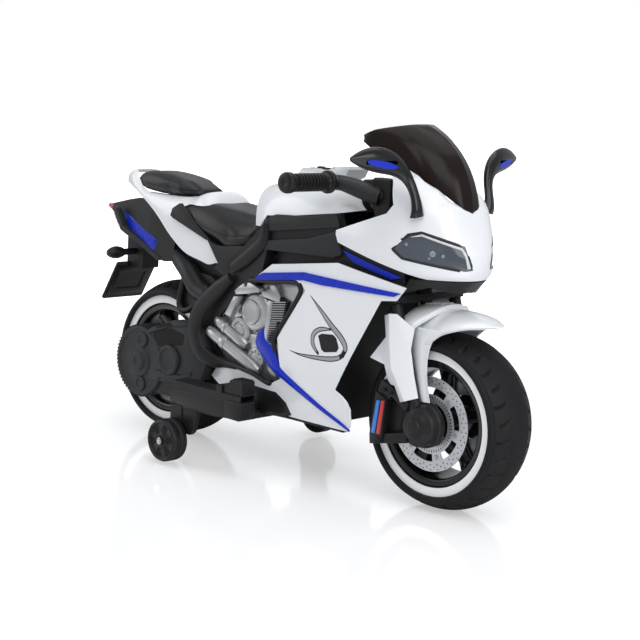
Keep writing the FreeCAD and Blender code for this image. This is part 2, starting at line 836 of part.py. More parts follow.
socket_share = (0.44, 1.02)
socket_at = side_place(*socket_share)
socket_r = mm("socket_radius")
socket_room = turned(socket_r + gap, side_half, V(socket_at.x, 0, socket_at.z), V(0, 1, 0))
left_panel = side_panel.mirror(V(), V(0, 1, 0)).cut(socket_room)
keep("side_panels", shaped("side_panel_pair", Part.makeCompound([side_panel, left_panel])))
socket_face = -socket_at.y - recess + gap
socket_body = turned(socket_r, mm("socket_length"), V(socket_at.x, socket_face - mm("socket_length"),
                                                      socket_at.z),
                     V(0, 1, 0))
socket_hole = turned(socket_r / 2, mm("socket_length"),
                     V(socket_at.x, socket_face - mm("socket_length") + wall, socket_at.z), V(0, 1, 0))
keep("charge_socket", shaped("charge_socket_body", socket_body.cut(socket_hole)))

blade_shares = [(0.674, 1.068), (0.712, 1.052), (0.944, 0.955), (0.9, 0.938), (0.728, 1.003)]
nose_blade = side_piece(corners(blade_shares), -recess + inlay_out, -recess + gap)
keep("nose_blades", shaped("nose_blade_pair", both_sides(nose_blade)))

spar_runs = [[(0.322, 1.208), (0.252, 1.088)],
             [(0.252, 1.088), (0.174, 0.974), (0.08, 0.779), (-0.014, 0.62), (-0.08, 0.474),
              (-0.094, 0.373), (-0.078, 0.279), (-0.044, 0.185), (0.04, 0.123)],
             [(0.04, 0.123), (0.11, 0.14)],
             [(0.11, 0.14), (0.1, 0.224)],
             [(0.1, 0.224), (0.056, 0.282), (0.024, 0.357), (0.032, 0.471), (0.152, 0.656), (0.298, 0.851)],
             [(0.298, 0.851), (0.328, 1.032)],
             [(0.328, 1.032), (0.322, 1.208)]]
spar_face = -wall - 2 * gap
spar = side_piece(spar_runs, spar_face, spar_face - mm("spar_depth"))
keep("frame_spars", shaped("frame_spar_pair", both_sides(spar)))

# Engine covers: a moulded block behind the fairing's opening
engine_shares = [(0.112, 0.235), (0.35, 0.169), (0.454, 0.208), (0.458, 0.299), (0.442, 0.474),
                 (0.574, 0.792), (0.542, 0.89), (0.31, 0.87), (0.16, 0.63), (0.05, 0.46), (0.046, 0.36),
                 (0.076, 0.29)]
tub_half = mm("tub_half_width")
engine_in = -tub_half - gap
engine_out = engine_in - mm("engine_depth")
engine_rise = mm("engine_depth") * 0.3


def on_engine(a, b):
    p = side_place(a, b)
    return V(p.x, engine_out, p.z)


def engine_cover():
    base = prism(fairing_box, corners(engine_shares), engine_out, engine_in)
    knob = fairing_box[3] * 0.1
    out = V(0, -1, 0)
    features = [turned(knob, engine_rise, on_engine(0.27, 0.58), out),
                turned(knob * 0.62, engine_rise * 1.3, on_engine(0.27, 0.58), out),
                turned(knob * 0.75, engine_rise, on_engine(0.31, 0.3), out),
                turned(knob * 0.9, engine_rise * 0.7, on_engine(0.17, 0.45), out)]
    pipe = knob * 0.42
    for start, end in [((0.09, 0.43), (0.27, 0.24)), ((0.075, 0.36), (0.25, 0.205))]:
        features.append(rod(on_engine(*start), on_engine(*end), pipe))
    for i in range(10):
        low = on_engine(0.33 + 0.006 * i, 0.34 + 0.042 * i)
        features.append(turned(knob * 0.5, knob * 0.16, low, V(0, 0, 1)))
    features.append(rod(on_engine(0.33, 0.33), on_engine(0.39, 0.75), knob * 0.34))
    for a in (0.29, 0.36, 0.43):
        corner = on_engine(a, 0.72)
        features.append(Part.makeBox(knob * 0.9, engine_rise, knob * 0.9, corner - V(0, engine_rise, 0)))
    return base.fuse(features).removeSplitter()


keep("engine_covers", shaped("engine_cover_pair", both_sides(engine_cover())))

# Nose: levels of a rounded wedge, trimmed to its side outline
nose_tip = fx + mm("nose_lead")
nose_x0 = nose_tip - mm("nose_length")
nose_box = (nose_x0, mm("nose_length"), mm("nose_base"), mm("nose_height"))
nose_half = mm("nose_half_width")
nose_tip_shares = [(0, 0.955), (0.11, 0.985), (0.24, 0.977), (0.36, 0.935), (0.46, 0.893), (0.585, 0.866),
                   (0.71, 0.79), (0.835, 0.7), (1.0, 0.55)]
nose_width_shares = [(0, 0.93), (0.11, 0.98), (0.24, 1.0), (0.36, 0.985), (0.46, 0.955), (0.585, 0.91),
                     (0.71, 0.82), (0.835, 0.715), (1.0, 0.56)]
nose_round_shares = [(0, 2.0), (0.24, 2.05), (0.36, 2.4), (0.46, 2.7), (0.585, 3.0), (0.71, 2.8), (1.0, 2.4)]
widest_share = 0.32


def nose_place(t, level):
    # t runs from the right rear (-1) round the tip (0) to the left rear (1)
    tip = nose_x0 + nose_box[1] * smooth_at(nose_tip_shares, level)
    half = nose_half * smooth_at(nose_width_shares, level)
    power = smooth_at(nose_round_shares, level)
    widest = nose_x0 + nose_box[1] * widest_share
    z = nose_box[2] + nose_box[3] * level
    round_part = 0.72
    if abs(t) <= round_part:
        angle = abs(t) / round_part * math.pi / 2
        x = widest + (tip - widest) * math.cos(angle) ** (2 / power)
        y = half * math.sin(angle) ** (2 / power)
    else:
        back = (abs(t) - round_part) / (1 - round_part)
        x = widest - (widest - nose_x0) * back
        y = half * (1 - 0.03 * back ** 2)
    return V(x, math.copysign(y, t), z)


def nose_wall(low, high, outside, inside):
    # the nose between two levels; the depths are measured square to the surface
    def point(t, level):
        place = nose_place(t, level)
        step = 0.01
        du = nose_place(t + step, level) - nose_place(t - step, level)
        dv = nose_place(t, level + step) - nose_place(t, level - step)
        return place, du.cross(dv).normalize()
    half_turn = [(i / 14) ** 1.0 for i in range(15)]
    ts = [-t for t in reversed(half_turn[1:])] + half_turn
    return wall_of(point, ts, spread(low, high, 9), outside, inside)


nose_trim_shares = [(0.015, 0.3), (0.042, 0.23), (0.7, 0.015), (0.75, 0.0), (1.1, 0.0), (1.1, 0.59),
                    (0.872, 0.596), (0.705, 0.77), (0.5, 0.93), (0.34, 0.995), (0.36, 0.92), (0.42, 0.8),
                    (0.49, 0.62), (0.45, 0.54), (0.015, 0.335)]
through = 2 * nose_half
nose = nose_wall(0.0, 1.0, 0, -wall)
nose = nose.common(prism(nose_box, corners(nose_trim_shares), -through, through))

# Headlights: the opening is drawn as seen from the front quarter
quarter = math.radians(43.5)
lens_across = V(math.cos(quarter), math.sin(quarter), 0)
lens_out = V(math.sin(quarter), -math.cos(quarter), 0)
lens_shares = [(-1.0, 0.25), (-0.84, 0.385), (-0.7, 0.415), (-0.24, 0.305), (-0.135, 0.1), (-0.22, 0.09),
               (-0.9, 0.175)]


def lens_prism(grow):
    # grow moves every corner out from the middle of the outline
    span = mm("lens_span")
    base = V(nose_tip, 0, nose_box[2])
    points = [base + lens_across * (span * a) + V(0, 0, nose_box[3] * b) for a, b in lens_shares]
    middle = sum(points[1:], points[0]) / len(points)
    points = [p + (p - middle).normalize() * grow for p in points]
    reach = lens_out * span
    face = Part.Face(Part.makePolygon([p - reach * 0.25 for p in points + points[:1]]))
    return face.extrude(reach * 1.25)


def side_only(shape):
    keep_side = Part.makeBox(nose_box[1] * 2, through, nose_box[3] * 2,
                             V(nose_x0 - nose_box[1] / 2, -through, nose_box[2] - nose_box[3] / 2))
    return shape.common(keep_side)


opening = side_only(lens_prism(gap))
nose = nose.cut(opening).cut(opening.mirror(V(), V(0, 1, 0)))
keep("nose_cowl", shaped("nose_cowl_shell", nose))
lens = nose_wall(0.02, 0.5, -gap, -gap - mm("lens_wall")).common(side_only(lens_prism(-gap)))
keep("headlight_lenses", shaped("headlight_lens_pair", both_sides(lens)))

# Headlight housing: the dark bucket that fills the nose behind the lenses
bucket = nose_wall(0.06, 0.44, -wall - 2 * gap, -wall - gap - mm("head_wall"))
bucket_room = Part.makeBox(nose_box[1], 2 * through, nose_box[3],
                           V(nose_x0 + nose_box[1] * 0.56, -through, nose_box[2]))
bucket = bucket.common(bucket_room)
bucket_back = Part.makeBox(mm("head_wall"), 1.66 * nose_half, nose_box[3] * 0.34,
                           V(nose_x0 + nose_box[1] * 0.56, -0.83 * nose_half, nose_box[2]
                             + nose_box[3] * 0.08))
panel_front = fairing_box[0] + fairing_box[1] * 0.948
panel_room = Part.makeBox(nose_box[1], 2 * through, nose_box[3],
                          V(panel_front + wall - nose_box[1], -through, nose_box[2] - nose_box[3] * 0.86))
bucket = bucket.fuse(bucket_back).cut(panel_room)
keep("headlight_housing", shaped("headlight_housing_shell", bucket))

# Chin: the black panel under the nose, drawn in towards its lower edge
chin_low = mm("nose_base") - mm("chin_height")


def chin_place(t, level):
    # level 0 is the lower edge, 1 the upper edge just inside the nose's lip
    p = nose_place(t, 0.0)
    tip = nose_tip - (1 - level) * mm_chin["length"] * 0.24
    x = tip - (nose_tip - p.x) * (1 - 0.03 * level)
    front = max(0.0, 1 - abs(p.y) / nose_half)
    low = chin_low + mm_chin["height"] * 0.36 * front
    return V(x, p.y * (0.9 + 0.05 * level), low + (mm_chin["top"] - low) * level)


mm_chin = {"length": mm("chin_length"), "height": mm("chin_height"),
           "top": mm("nose_base") - gap - wall * 0.55}
chin = wall_of(with_normals(chin_place, 0.01), spread(-0.49, 0.49, 21), spread(0.0, 1.0, 4), 0, -wall)
yoke_sweep = math.hypot(leg_y + leg_r, mm("yoke_depth") / 2) + wall
chin = chin.cut(rod(along_axis(yoke_s / 2), along_axis(yoke_s + yoke_t + wall), yoke_sweep))
keep("nose_lower_panel", shaped("nose_lower_shell", max(chin.Solids, key=lambda solid: solid.Volume)))

# Windscreen: a smoked bubble from a pointed foot on the nose to a swept top edge
screen_half = mm("screen_half_width")
screen_x1 = nose_x0 + nose_box[1] * 0.872
screen_z0 = nose_box[2] + nose_box[3] * 0.604
screen_low_x_shares = [(0, 0.0), (0.37, 0.1), (0.63, 0.29), (0.8, 0.5), (1, 0.94)]
screen_low_z_shares = [(0, 0.0), (0.37, 0.115), (0.63, 0.285), (0.8, 0.45), (1, 0.67)]
screen_top_x_shares = [(0, 0.49), (0.37, 0.56), (0.63, 0.68), (0.85, 0.86), (1, 1.0)]
screen_top_z_shares = [(0, 1.0), (0.37, 0.99), (0.63, 0.96), (0.85, 0.9), (1, 0.8)]


def screen_place(u, v):
    side = abs(u)
    length, height = mm_screen["length"], mm_screen["height"]
    low = V(screen_x1 - length * smooth_at(screen_low_x_shares, side), 0,
            screen_z0 + height * smooth_at(screen_low_z_shares, side))
    top = V(screen_x1 - length * smooth_at(screen_top_x_shares, side), 0,
            screen_z0 + height * smooth_at(screen_top_z_shares, side))
    across = top - low
    out = V(math.cos(screen_lean), 0, math.sin(screen_lean))
    p = low + across * v + out * (mm_screen["bulge"] * 4 * v * (1 - v) * (1 - 0.7 * side))
    y = screen_half * side * (1 - 0.05 * v * v)
    return V(p.x, math.copysign(y, u), p.z)


screen_lean = math.radians(34)
mm_screen = {"length": mm("screen_length"), "height": mm("screen_height"), "bulge": mm("screen_bulge")}
screen = wall_of(with_normals(screen_place, 0.004), spread(-0.98, 0.98, 21), spread(0.01, 0.99, 7), 0, -wall)
screen = screen.cut(nose_wall(0.5, 1.0, gap, -4 * wall))
keep("windscreen", shaped("windscreen_shell", max(screen.Solids, key=lambda solid: solid.Volume)))

# Mirrors: a swan neck from the nose to an almond housing
mirror_foot = V(fx - mm("mirror_setback"), -mm("mirror_base_half"), mm("mirror_base_height"))
mirror_span = mm("mirror_reach") - mm("mirror_base_half")
mirror_rise = mm("mirror_rise")
mirror_depth = mm("mirror_depth")
mirror_spine_shares = [(0.0, 0.0, 0.0), (0.0, -0.04, 0.3), (-0.08, -0.1, 0.62), (-0.14, -0.24, 0.84),
                       (-0.2, -0.45, 0.96), (-0.26, -0.72, 1.0), (-0.3, -0.97, 0.99)]
mirror_half_shares = [(0.42, 0.62), (0.3, 0.42), (0.34, 0.44), (0.46, 0.7), (0.52, 0.9), (0.44, 0.76),
                      (0.1, 0.16)]


def mirror_body():
    spine = [mirror_foot + V(mirror_span * a, mirror_span * b, mirror_rise * c) for a, b,
             c in mirror_spine_shares]
    rings = []
    for i, place in enumerate(spine):
        before, after = spine[max(i - 1, 0)], spine[min(i + 1, len(spine) - 1)]
        forward = (after - before).normalize()
        deep = V(1, 0, 0)
        deep = (deep - forward * deep.dot(forward)).normalize()
        up = forward.cross(deep)
        a, b = [mirror_depth * share for share in mirror_half_shares[i]]
        points = [place + deep * (a * math.cos(k * math.pi / 4)) + up * (b * math.sin(k * math.pi / 4))
                  for k in range(8)]
        spline = Part.BSplineCurve()
        spline.interpolate(points, PeriodicFlag=True)
        rings.append(Part.Wire(spline.toShape()))
    return Part.makeLoft(rings, True, False)


nose_room = nose_wall(0.3, 0.8, gap, -mirror_depth)
mirror = mirror_body().cut(nose_room)
mirror = max(mirror.Solids, key=lambda solid: solid.Volume)
glass_x = mirror_foot.x - mirror_span * 0.3
glass_box = Part.makeBox(mirror_depth, mirror_span * 0.66, mirror_depth * 1.2,
                         V(glass_x - mirror_depth, mirror_foot.y - mirror_span * 0.92,
                           mirror_foot.z + mirror_rise * 0.98 - mirror_depth * 0.6))
insert_box = Part.makeBox(mirror_depth, mirror_span * 0.44, mirror_depth * 0.3,
                          V(glass_x + mirror_depth * 0.36, mirror_foot.y - mirror_span * 0.78,
                            mirror_foot.z + mirror_rise * 0.98 - mirror_depth * 0.3))
glass_slab = Part.makeBox(wall, mirror_span * 0.66, mirror_depth * 1.2,
                          V(glass_x - wall - gap, mirror_foot.y - mirror_span * 0.92,
                            mirror_foot.z + mirror_rise * 0.98 - mirror_depth * 0.6))
keep("mirror_arms", shaped("mirror_arm_pair", both_sides(mirror.cut(glass_box).cut(insert_box))))
keep("mirror_glasses", shaped("mirror_glass_pair", both_sides(mirror.common(glass_slab))))
keep("mirror_inserts", shaped("mirror_insert_pair", both_sides(mirror.common(insert_box))))

# Tank cover: arched sections, trimmed to its side outline
tank_box = (fx - mm("tank_setback") - mm("tank_length"), mm("tank_length"), mm("tank_base"),
            mm("tank_height"))
tank_half = mm("tank_half_width")
tank_width_shares = [(0, 0.8), (0.17, 0.95), (0.35, 1.0), (0.6, 1.0), (0.85, 0.95), (1, 0.88)]
tank_top_shares = [(0, 0.83), (0.1, 0.88), (0.25, 0.95), (0.43, 0.99), (0.6, 0.91), (0.85, 0.71), (1, 0.62)]


def tank_place(s, t):
    half = tank_half * smooth_at(tank_width_shares, s)
    top = tank_box[3] * smooth_at(tank_top_shares, s)
    angle = t * math.pi / 2
    bow = 0.62
    y = half * math.copysign(abs(math.sin(angle)) ** bow, t)
    return V(tank_box[0] + tank_box[1] * s, y, tank_box[2] + top * math.cos(angle) ** bow)


def tank_point(s, t):
    step = 0.01
    low, high = max(t - step, -1 + step / 4), min(t + step, 1 - step / 4)
    du = tank_place(s + step, t) - tank_place(s - step, t)
    dv = tank_place(s, high) - tank_place(s, low)
    return tank_place(s, t), du.cross(dv).normalize()


tank_trim_shares = [(0.012, 0.86), (0.068, 0.05), (0.177, 0.39), (0.416, 0.45), (0.736, 0.566),
                    (0.985, 0.705), (1.0, 0.8), (1.0, 1.2), (0.012, 1.2)]
tank = wall_of(tank_point, spread(0.0, 1.0, 13), spread(-0.94, 0.94, 17), 0, -wall)
tank = tank.common(prism(tank_box, corners(tank_trim_shares), -2 * tank_half, 2 * tank_half))
tank_back_shares = [(0.012, 0.86), (0.068, 0.05), (0.08, 0.05), (0.024, 0.86), (0.024, 1.2), (0.012, 1.2)]


def tank_ring(s):
    # a closed section just inside the outer surface
    points = []
    for t in spread(-0.94, 0.94, 17):
        place, normal = tank_point(s, t)
        points.append(place - normal * (wall / 2))
    arch = Part.BSplineCurve()
    arch.interpolate(points)
    return Part.Wire([arch.toShape(), Part.LineSegment(points[-1], points[0]).toShape()])


tank_core = Part.makeLoft([tank_ring(s) for s in (0.0, 0.04, 0.08, 0.12)], True, False)
tank_back = tank_core.common(prism(tank_box, corners(tank_back_shares), -2 * tank_half, 2 * tank_half))
tank = tank.fuse(tank_back)
dash_x1 = front_x + " - dash_setback"
dash_x0 = dash_x1 + " - dash_length"
dash_base = "(tank_base + tank_height - dash_sink)"
dash_top = "(" + dash_base + " + dash_height)"
dash_room = Part.makeBox(mm("dash_length") + 2 * gap, mm("dash_width") + 2 * gap, mm("dash_height") * 3,
                         V(mm(dash_x0) - gap, -mm("dash_width") / 2 - gap,
                           mm(dash_base) - mm("dash_height")))
clamp_sweep = math.hypot(mm("clamp_half"), mm("clamp_depth") / 2) + wall
clamp_room = rod(along_axis(clamp_s - clamp_t), along_axis(clamp_s + clamp_t + mm("riser_height") * 2),
                 clamp_sweep)
keep("tank_cover", shaped("tank_cover_shell", tank.cut(dash_room).cut(clamp_room)))

# Control panel on the tank top, with wells for two buttons and a rocker
dash_low = (dash_x0, "-dash_width / 2", dash_base)
dash_high = (dash_x1, "dash_width / 2", dash_top)
dash = rounded("dash_rounded", block("dash_block", dash_low, dash_high), "dash_height / 5",
               lambda edge: is_along(edge, V(0, 0, 1)))
power_x, power_y = dash_x0 + " + dash_length * 0.3", "0"
horn_x, horn_y = dash_x0 + " + dash_length * 0.68", "-dash_width * 0.25"
rocker_x, rocker_y = dash_x0 + " + dash_length * 0.68", "dash_width * 0.22"
well_floor = dash_top + " - button_height - button_travel"


def button_well(name, x, y):
    return primitive("Cylinder", name, {"Radius": "button_radius + panel_gap",
                                        "Height": "button_height * 2"},
                     (x, y, well_floor))


def push_button(node, x, y):
    button = primitive("Cylinder", node + "_round", {"Radius": "button_radius", "Height": "button_height"},
                       (x, y, dash_top + " - button_height + button_travel + panel_gap"))
    keep(node, rounded(node + "_all", button, "button_height / 6",
                       lambda edge: edge.CenterOfMass.z > mm(dash_top) and len(edge.Vertexes) == 1))


rocker_well = block("rocker_well", (rocker_x + " - rocker_length / 2 - panel_gap",
                                    rocker_y + " - rocker_width / 2 - button_travel", well_floor),
                    (rocker_x + " + rocker_length / 2 + panel_gap",
                     rocker_y + " + rocker_width / 2 + button_travel", dash_top + " + cut_overrun"))
rocker_pin_z = dash_top + " - button_travel"


def rocker_pin(name, radius, reach):
    half = "(rocker_length / 2 + " + reach + ")"
    return primitive("Cylinder", name, {"Radius": radius, "Height": "2 * " + half},
                     (rocker_x + " - " + half, rocker_y, rocker_pin_z), FreeCAD.Rotation(V(0, 1, 0), 90))


pin_room = rocker_pin("rocker_pin_room", "rocker_pin_radius + running_gap", "rocker_pin_reach + panel_gap")
wells = [button_well("power_well", power_x, power_y), button_well("horn_well", horn_x, horn_y),
         rocker_well, pin_room]
keep("dash_panel", cut("dash_cut", dash, fuse("dash_wells", wells)))
push_button("power_button", power_x, power_y)
push_button("horn_button", horn_x, horn_y)
rocker_low = (rocker_x + " - rocker_length / 2", rocker_y + " - rocker_width / 2",
              dash_top + " - button_height / 2")
rocker_high = (rocker_x + " + rocker_length / 2", rocker_y + " + rocker_width / 2",
               dash_top + " + button_travel + panel_gap")
rocker_cap = rounded("rocker_cap", block("rocker_block", rocker_low, rocker_high), "button_travel / 2",
                     lambda edge: is_along(edge, V(1, 0, 0)))
keep("direction_rocker", fuse("rocker_all", [rocker_cap, rocker_pin("rocker_pin", "rocker_pin_radius",
                                                                    "rocker_pin_reach")]))

# Saddle: a crowned cushion whose sides draw in towards the base
seat_box = (fx - mm("seat_setback") - mm("seat_length"), mm("seat_length"), mm("seat_base"),
            mm("seat_height"))
seat_half = mm("seat_half_width")
seat_low_shares = [(0, 0.735), (0.3, 0.45), (0.56, 0.27), (0.74, 0.14), (0.88, 0.26), (1, 0.5)]
seat_top_shares = [(0, 0.79), (0.12, 0.867), (0.35, 0.89), (0.67, 0.825), (0.92, 0.76), (1, 0.725)]
seat_width_shares = [(0, 0.74), (0.2, 0.93), (0.5, 1.0), (0.8, 0.95), (1, 0.86)]


def cushion_ring(x, half, low, top, draw_in):
    # one crosswise section: flat base, drawn-in sides, crowned top
    height = top - low
    points = [V(x, -half * draw_in, low), V(x, -half, low + height * 0.45), V(x, -half * 0.86, low
                                                                              + height * 0.82),
              V(x, 0, top), V(x, half * 0.86, low + height * 0.82), V(x, half, low + height * 0.45),
              V(x, half * draw_in, low)]
    crown = Part.BSplineCurve()
    crown.interpolate(points)
    return Part.Wire([crown.toShape(), Part.LineSegment(points[-1], points[0]).toShape()])


def cushion(box, half, low_shares, top_shares, width_shares, places, draw_in):
    rings = []
    for s in places:
        low = box[2] + box[3] * smooth_at(low_shares, s)
        top = box[2] + box[3] * smooth_at(top_shares, s)
        rings.append(cushion_ring(box[0] + box[1] * s, half * smooth_at(width_shares, s), low, top, draw_in))
    return Part.makeLoft(rings, True, False)


seat_places = (0, 0.1, 0.25, 0.42, 0.58, 0.74, 0.88, 1)
saddle = cushion(seat_box, seat_half, seat_low_shares, seat_top_shares, seat_width_shares, seat_places, 0.9)
around_seat = (seat_box[0] - 2 * gap, seat_box[1] + 4 * gap, seat_box[2] - 2 * gap, seat_box[3] + 4 * gap)
saddle_room = cushion(around_seat, seat_half + 3 * gap, seat_low_shares, seat_top_shares, seat_width_shares,
                      seat_places, 0.9)
tub_x0 = rear_x + " + tyre_radius + tub_tyre_gap"
tub_x1 = front_x + " - tub_setback"
tub_top = "tub_base + tub_height"
tub_room_top = Part.makeBox(mm(tub_x1) - mm(tub_x0), 2 * mm("tub_half_width") + 2 * gap, mm("tub_height"),
                            V(mm(tub_x0) - gap, -mm("tub_half_width") - gap, mm("tub_base") + gap))
keep("seat", shaped("seat_cushion", saddle.cut(tub_room_top)))

# Pillion pad: a small crowned cushion that narrows to the rear
pad_box = (rx + mm("pad_lead") - mm("pad_length"), mm("pad_length"), mm("pad_base"), mm("pad_height"))
pad_half = mm("pad_half_width")
pad_low_shares = [(0, 0.3), (0.2, 0.1), (0.5, 0.0), (1, 0.02)]
pad_top_shares = [(0, 0.56), (0.1, 0.86), (0.3, 1.0), (0.6, 0.9), (0.85, 0.66), (1, 0.38)]
pad_width_shares = [(0, 0.4), (0.12, 0.78), (0.3, 0.98), (0.6, 1.0), (0.85, 0.82), (1, 0.54)]
pad_places = (0, 0.08, 0.22, 0.42, 0.62, 0.82, 0.94, 1)
pillion = cushion(pad_box, pad_half, pad_low_shares, pad_top_shares, pad_width_shares, pad_places, 0.94)
room_box = (pad_box[0] - 4 * gap, pad_box[1] + 8 * gap, pad_box[2] - 4 * gap, pad_box[3])
room_top_shares = [(place, share + 1.2) for place, share in pad_top_shares]
pad_room = cushion(room_box, pad_half + 3 * gap, pad_low_shares, room_top_shares, pad_width_shares,
                   pad_places, 1.0)
keep("pillion_pad", shaped("pillion_cushion", pillion))

# Tail cowl: a white shell under the pillion pad, open below
tail_box = (rx + mm("tail_lead") - mm("tail_length"), mm("tail_length"), mm("tail_base"), mm("tail_height"))
tail_half = mm("tail_half_width")
tail_low_shares = [(0, 0.84), (0.12, 0.78), (0.24, 0.68), (0.38, 0.506), (0.516, 0.276), (0.68, 0.076),
                   (0.93, 0.0), (1, 0.04)]
tail_top_shares = [(0, 0.94), (0.05, 1.0), (0.1, 0.985), (0.16, 0.9), (0.22, 0.8), (0.5, 0.765), (0.68,
                                                                                                  0.79),
                   (0.75, 0.835), (0.835, 0.73), (0.9, 0.58), (1, 0.3)]
tail_width_shares = [(0, 0.42), (0.12, 0.66), (0.3, 0.8), (0.63, 0.93), (0.9, 1.0), (1, 1.0)]


def tail_place(s, t):
    half = tail_half * smooth_at(tail_width_shares, s)
    low = tail_box[2] + tail_box[3] * smooth_at(tail_low_shares, s)
    top = tail_box[2] + tail_box[3] * smooth_at(tail_top_shares, s)
    angle = t * math.pi / 2
    flat = 0.5
    y = half * math.copysign(abs(math.sin(angle)) ** flat, t)
    return V(tail_box[0] + tail_box[1] * s, y, low + (top - low) * math.cos(angle) ** flat)


def tail_inner(s, t):
    p = tail_place(s, t)
    half = tail_half * smooth_at(tail_width_shares, s)
    shrink = (half - wall) / half
    drop = wall * math.cos(t * math.pi / 2) ** 0.5
    return V(p.x, p.y * shrink, p.z - drop)


tail_across_shares = [-0.999, -0.97, -0.88, -0.72, -0.5, -0.25, -0.08, 0.08, 0.25, 0.5, 0.72, 0.88, 0.97,
                      0.999]
tail_along_shares = spread(0.02, 0.98, 13)
tail = skin([[tail_place(s, t) for t in tail_across_shares] for s in tail_along_shares],
            [[tail_inner(s, t) for t in tail_across_shares] for s in tail_along_shares])
seat_room_shares = [(0.0, 0.71), (0.06, 0.8), (0.3, 0.84), (0.6, 0.8), (1.1, 0.7), (1.1, 0.1), (0.74, 0.03),
                    (0.56, 0.24), (0.3, 0.42)]
seat_room = prism(seat_box, corners(seat_room_shares), -2 * seat_half, 2 * seat_half)
tail = tail.cut(seat_room).cut(saddle_room).cut(pad_room)
keep("tail_cowl", shaped("tail_cowl_shell", max(tail.Solids, key=lambda solid: solid.Volume)))

# Tail housing: the black wedge under the cowl, with the lamp at its rear end
housing_half = mm("housing_half_width")
light_x = rx - mm("tail_overhang")
light_len, light_half = mm("tail_light_length"), mm("tail_light_half")
light_h, light_z = mm("tail_light_height"), mm("tail_light_level")


def tail_edge(x):
    # height of the cowl's lower edge above a place along the tail
    return tail_box[2] + tail_box[3] * smooth_at(tail_low_shares, (x - tail_box[0]) / tail_box[1])


under_cowl_shares = (0.3, 0.373, 0.45, 0.52)


def box_ring(x, half, low, top):
    return Part.makePolygon([V(x, -half, low), V(x, half, low), V(x, half * 0.9, top), V(x, -half * 0.9,
                                                                                         top),
                             V(x, -half, low)])


def tail_housing():
    rear = light_x + light_len + gap
    rings = [box_ring(rear, light_half, light_z - light_h / 2, light_z + light_h / 2)]
    station_shares = [(0.054, 0.77, 0.224, 0.62), (0.162, 0.9, 0.124, 0.66)]
    for place, width, low, top in station_shares:
        rings.append(box_ring(tail_box[0] + tail_box[1] * place, housing_half * width,
                              tail_box[2] + tail_box[3] * low, tail_box[2] + tail_box[3] * top))
    for place, low in zip(under_cowl_shares, (0.02, -0.04, -0.06, -0.04)):
        x = tail_box[0] + tail_box[1] * place
        rings.append(box_ring(x, housing_half, tail_box[2] + tail_box[3] * low, tail_edge(x) - 2 * gap))
    return Part.makeLoft(rings, True, True)


housing = tail_housing()
blade_cut = Part.makeBox(tail_box[1] * 0.42, 4 * housing_half, tail_box[3] * 0.13,
                         V(0, -4 * housing_half - housing_half * 0.68, -tail_box[3] * 0.065))
blade_cut.Placement = FreeCAD.Placement(V(tail_box[0] + tail_box[1] * -0.03, 0, tail_box[2]
                                          + tail_box[3] * 0.44),
                                        FreeCAD.Rotation(V(0, 1, 0), 22))
blade = housing.common(blade_cut)
blade_other = blade_cut.mirror(V(), V(0, 1, 0))
keep("tail_housing", shaped("tail_housing_body", housing.cut(blade_cut).cut(blade_other)))
keep("tail_blades", shaped("tail_blade_pair", both_sides(blade)))

lamp_rings = [box_ring(light_x, light_half * 0.35, light_z - light_h * 0.2, light_z + light_h * 0.2),
              box_ring(light_x + light_len, light_half, light_z - light_h / 2, light_z + light_h / 2)]
keep("tail_light", shaped("tail_light_lens", Part.makeLoft(lamp_rings, True, True)))

# Plate holder: a tilted plate on an arm under the tail housing
plate_dir = V(math.sin(math.radians(mm("plate_tilt"))), 0, math.cos(math.radians(mm("plate_tilt"))))
plate_foot = V(light_x + mm("plate_lead"), 0, mm("plate_base"))
plate = Part.makeBox(mm("plate_thickness"), 2 * mm("plate_half_width"), mm("plate_height"),
                     V(0, -mm("plate_half_width"), 0))
plate = plate.makeFillet(mm("plate_thickness"), [e for e in plate.Edges if is_along(e, V(1, 0, 0))])
plate.Placement = FreeCAD.Placement(plate_foot, FreeCAD.Rotation(V(0, 1, 0), mm("plate_tilt")))
arm_foot = plate_foot + plate_dir * (mm("plate_height") * 0.88)
arm_half = mm("plate_arm_half")
plate_arm = Part.makeBox(mm("plate_arm_length"), 2 * arm_half, mm("plate_height"), arm_foot - V(0,
                                                                                                arm_half, 0))
plate_arm = min(plate_arm.cut(housing).Solids, key=lambda solid: solid.BoundBox.ZMin)
keep("plate_holder", shaped("plate_holder_all", plate.fuse(plate_arm)))

# Rear indicators: pods on thin stalks that stand out from the plate's arm
pod_r, pod_len, pod_z = mm("indicator_radius"), mm("indicator_length"), mm("indicator_level")
pod_x = arm_foot.x + pod_r * 1.4
stalk_start = V(pod_x, -arm_half - gap, pod_z)
pod_start = stalk_start - V(0, pod_len * 0.22, 0)
pod_middle = pod_start - V(0, pod_len * 0.3, 0)
stalk = turned(pod_r * 0.4, pod_len * 0.3, stalk_start, V(0, -1, 0))
pod = Part.makeCone(pod_r * 0.55, pod_r, pod_len * 0.3, pod_start, V(0, -1, 0))
pod_tip = Part.makeCone(pod_r, pod_r * 0.35, pod_len * 0.48, pod_middle, V(0, -1, 0))
keep("rear_indicators", shaped("rear_indicator_pair", both_sides(pod.fuse([pod_tip, stalk]))))

# Gear cases: round drums beside the rear wheel with an arm to the tub
arm_low = axle_z + " - case_arm_drop"
arm_high = axle_z + " + case_arm_rise"
arm_front = tub_x0 + " - case_tongue"


def case_solid(name, start, end):
    drum = rod_y(name + "_drum", "case_radius", start, end, rear_x, axle_z)
    arm = block(name + "_arm", (rear_x, start, arm_low), (arm_front, end, arm_high))
    return [drum, arm]


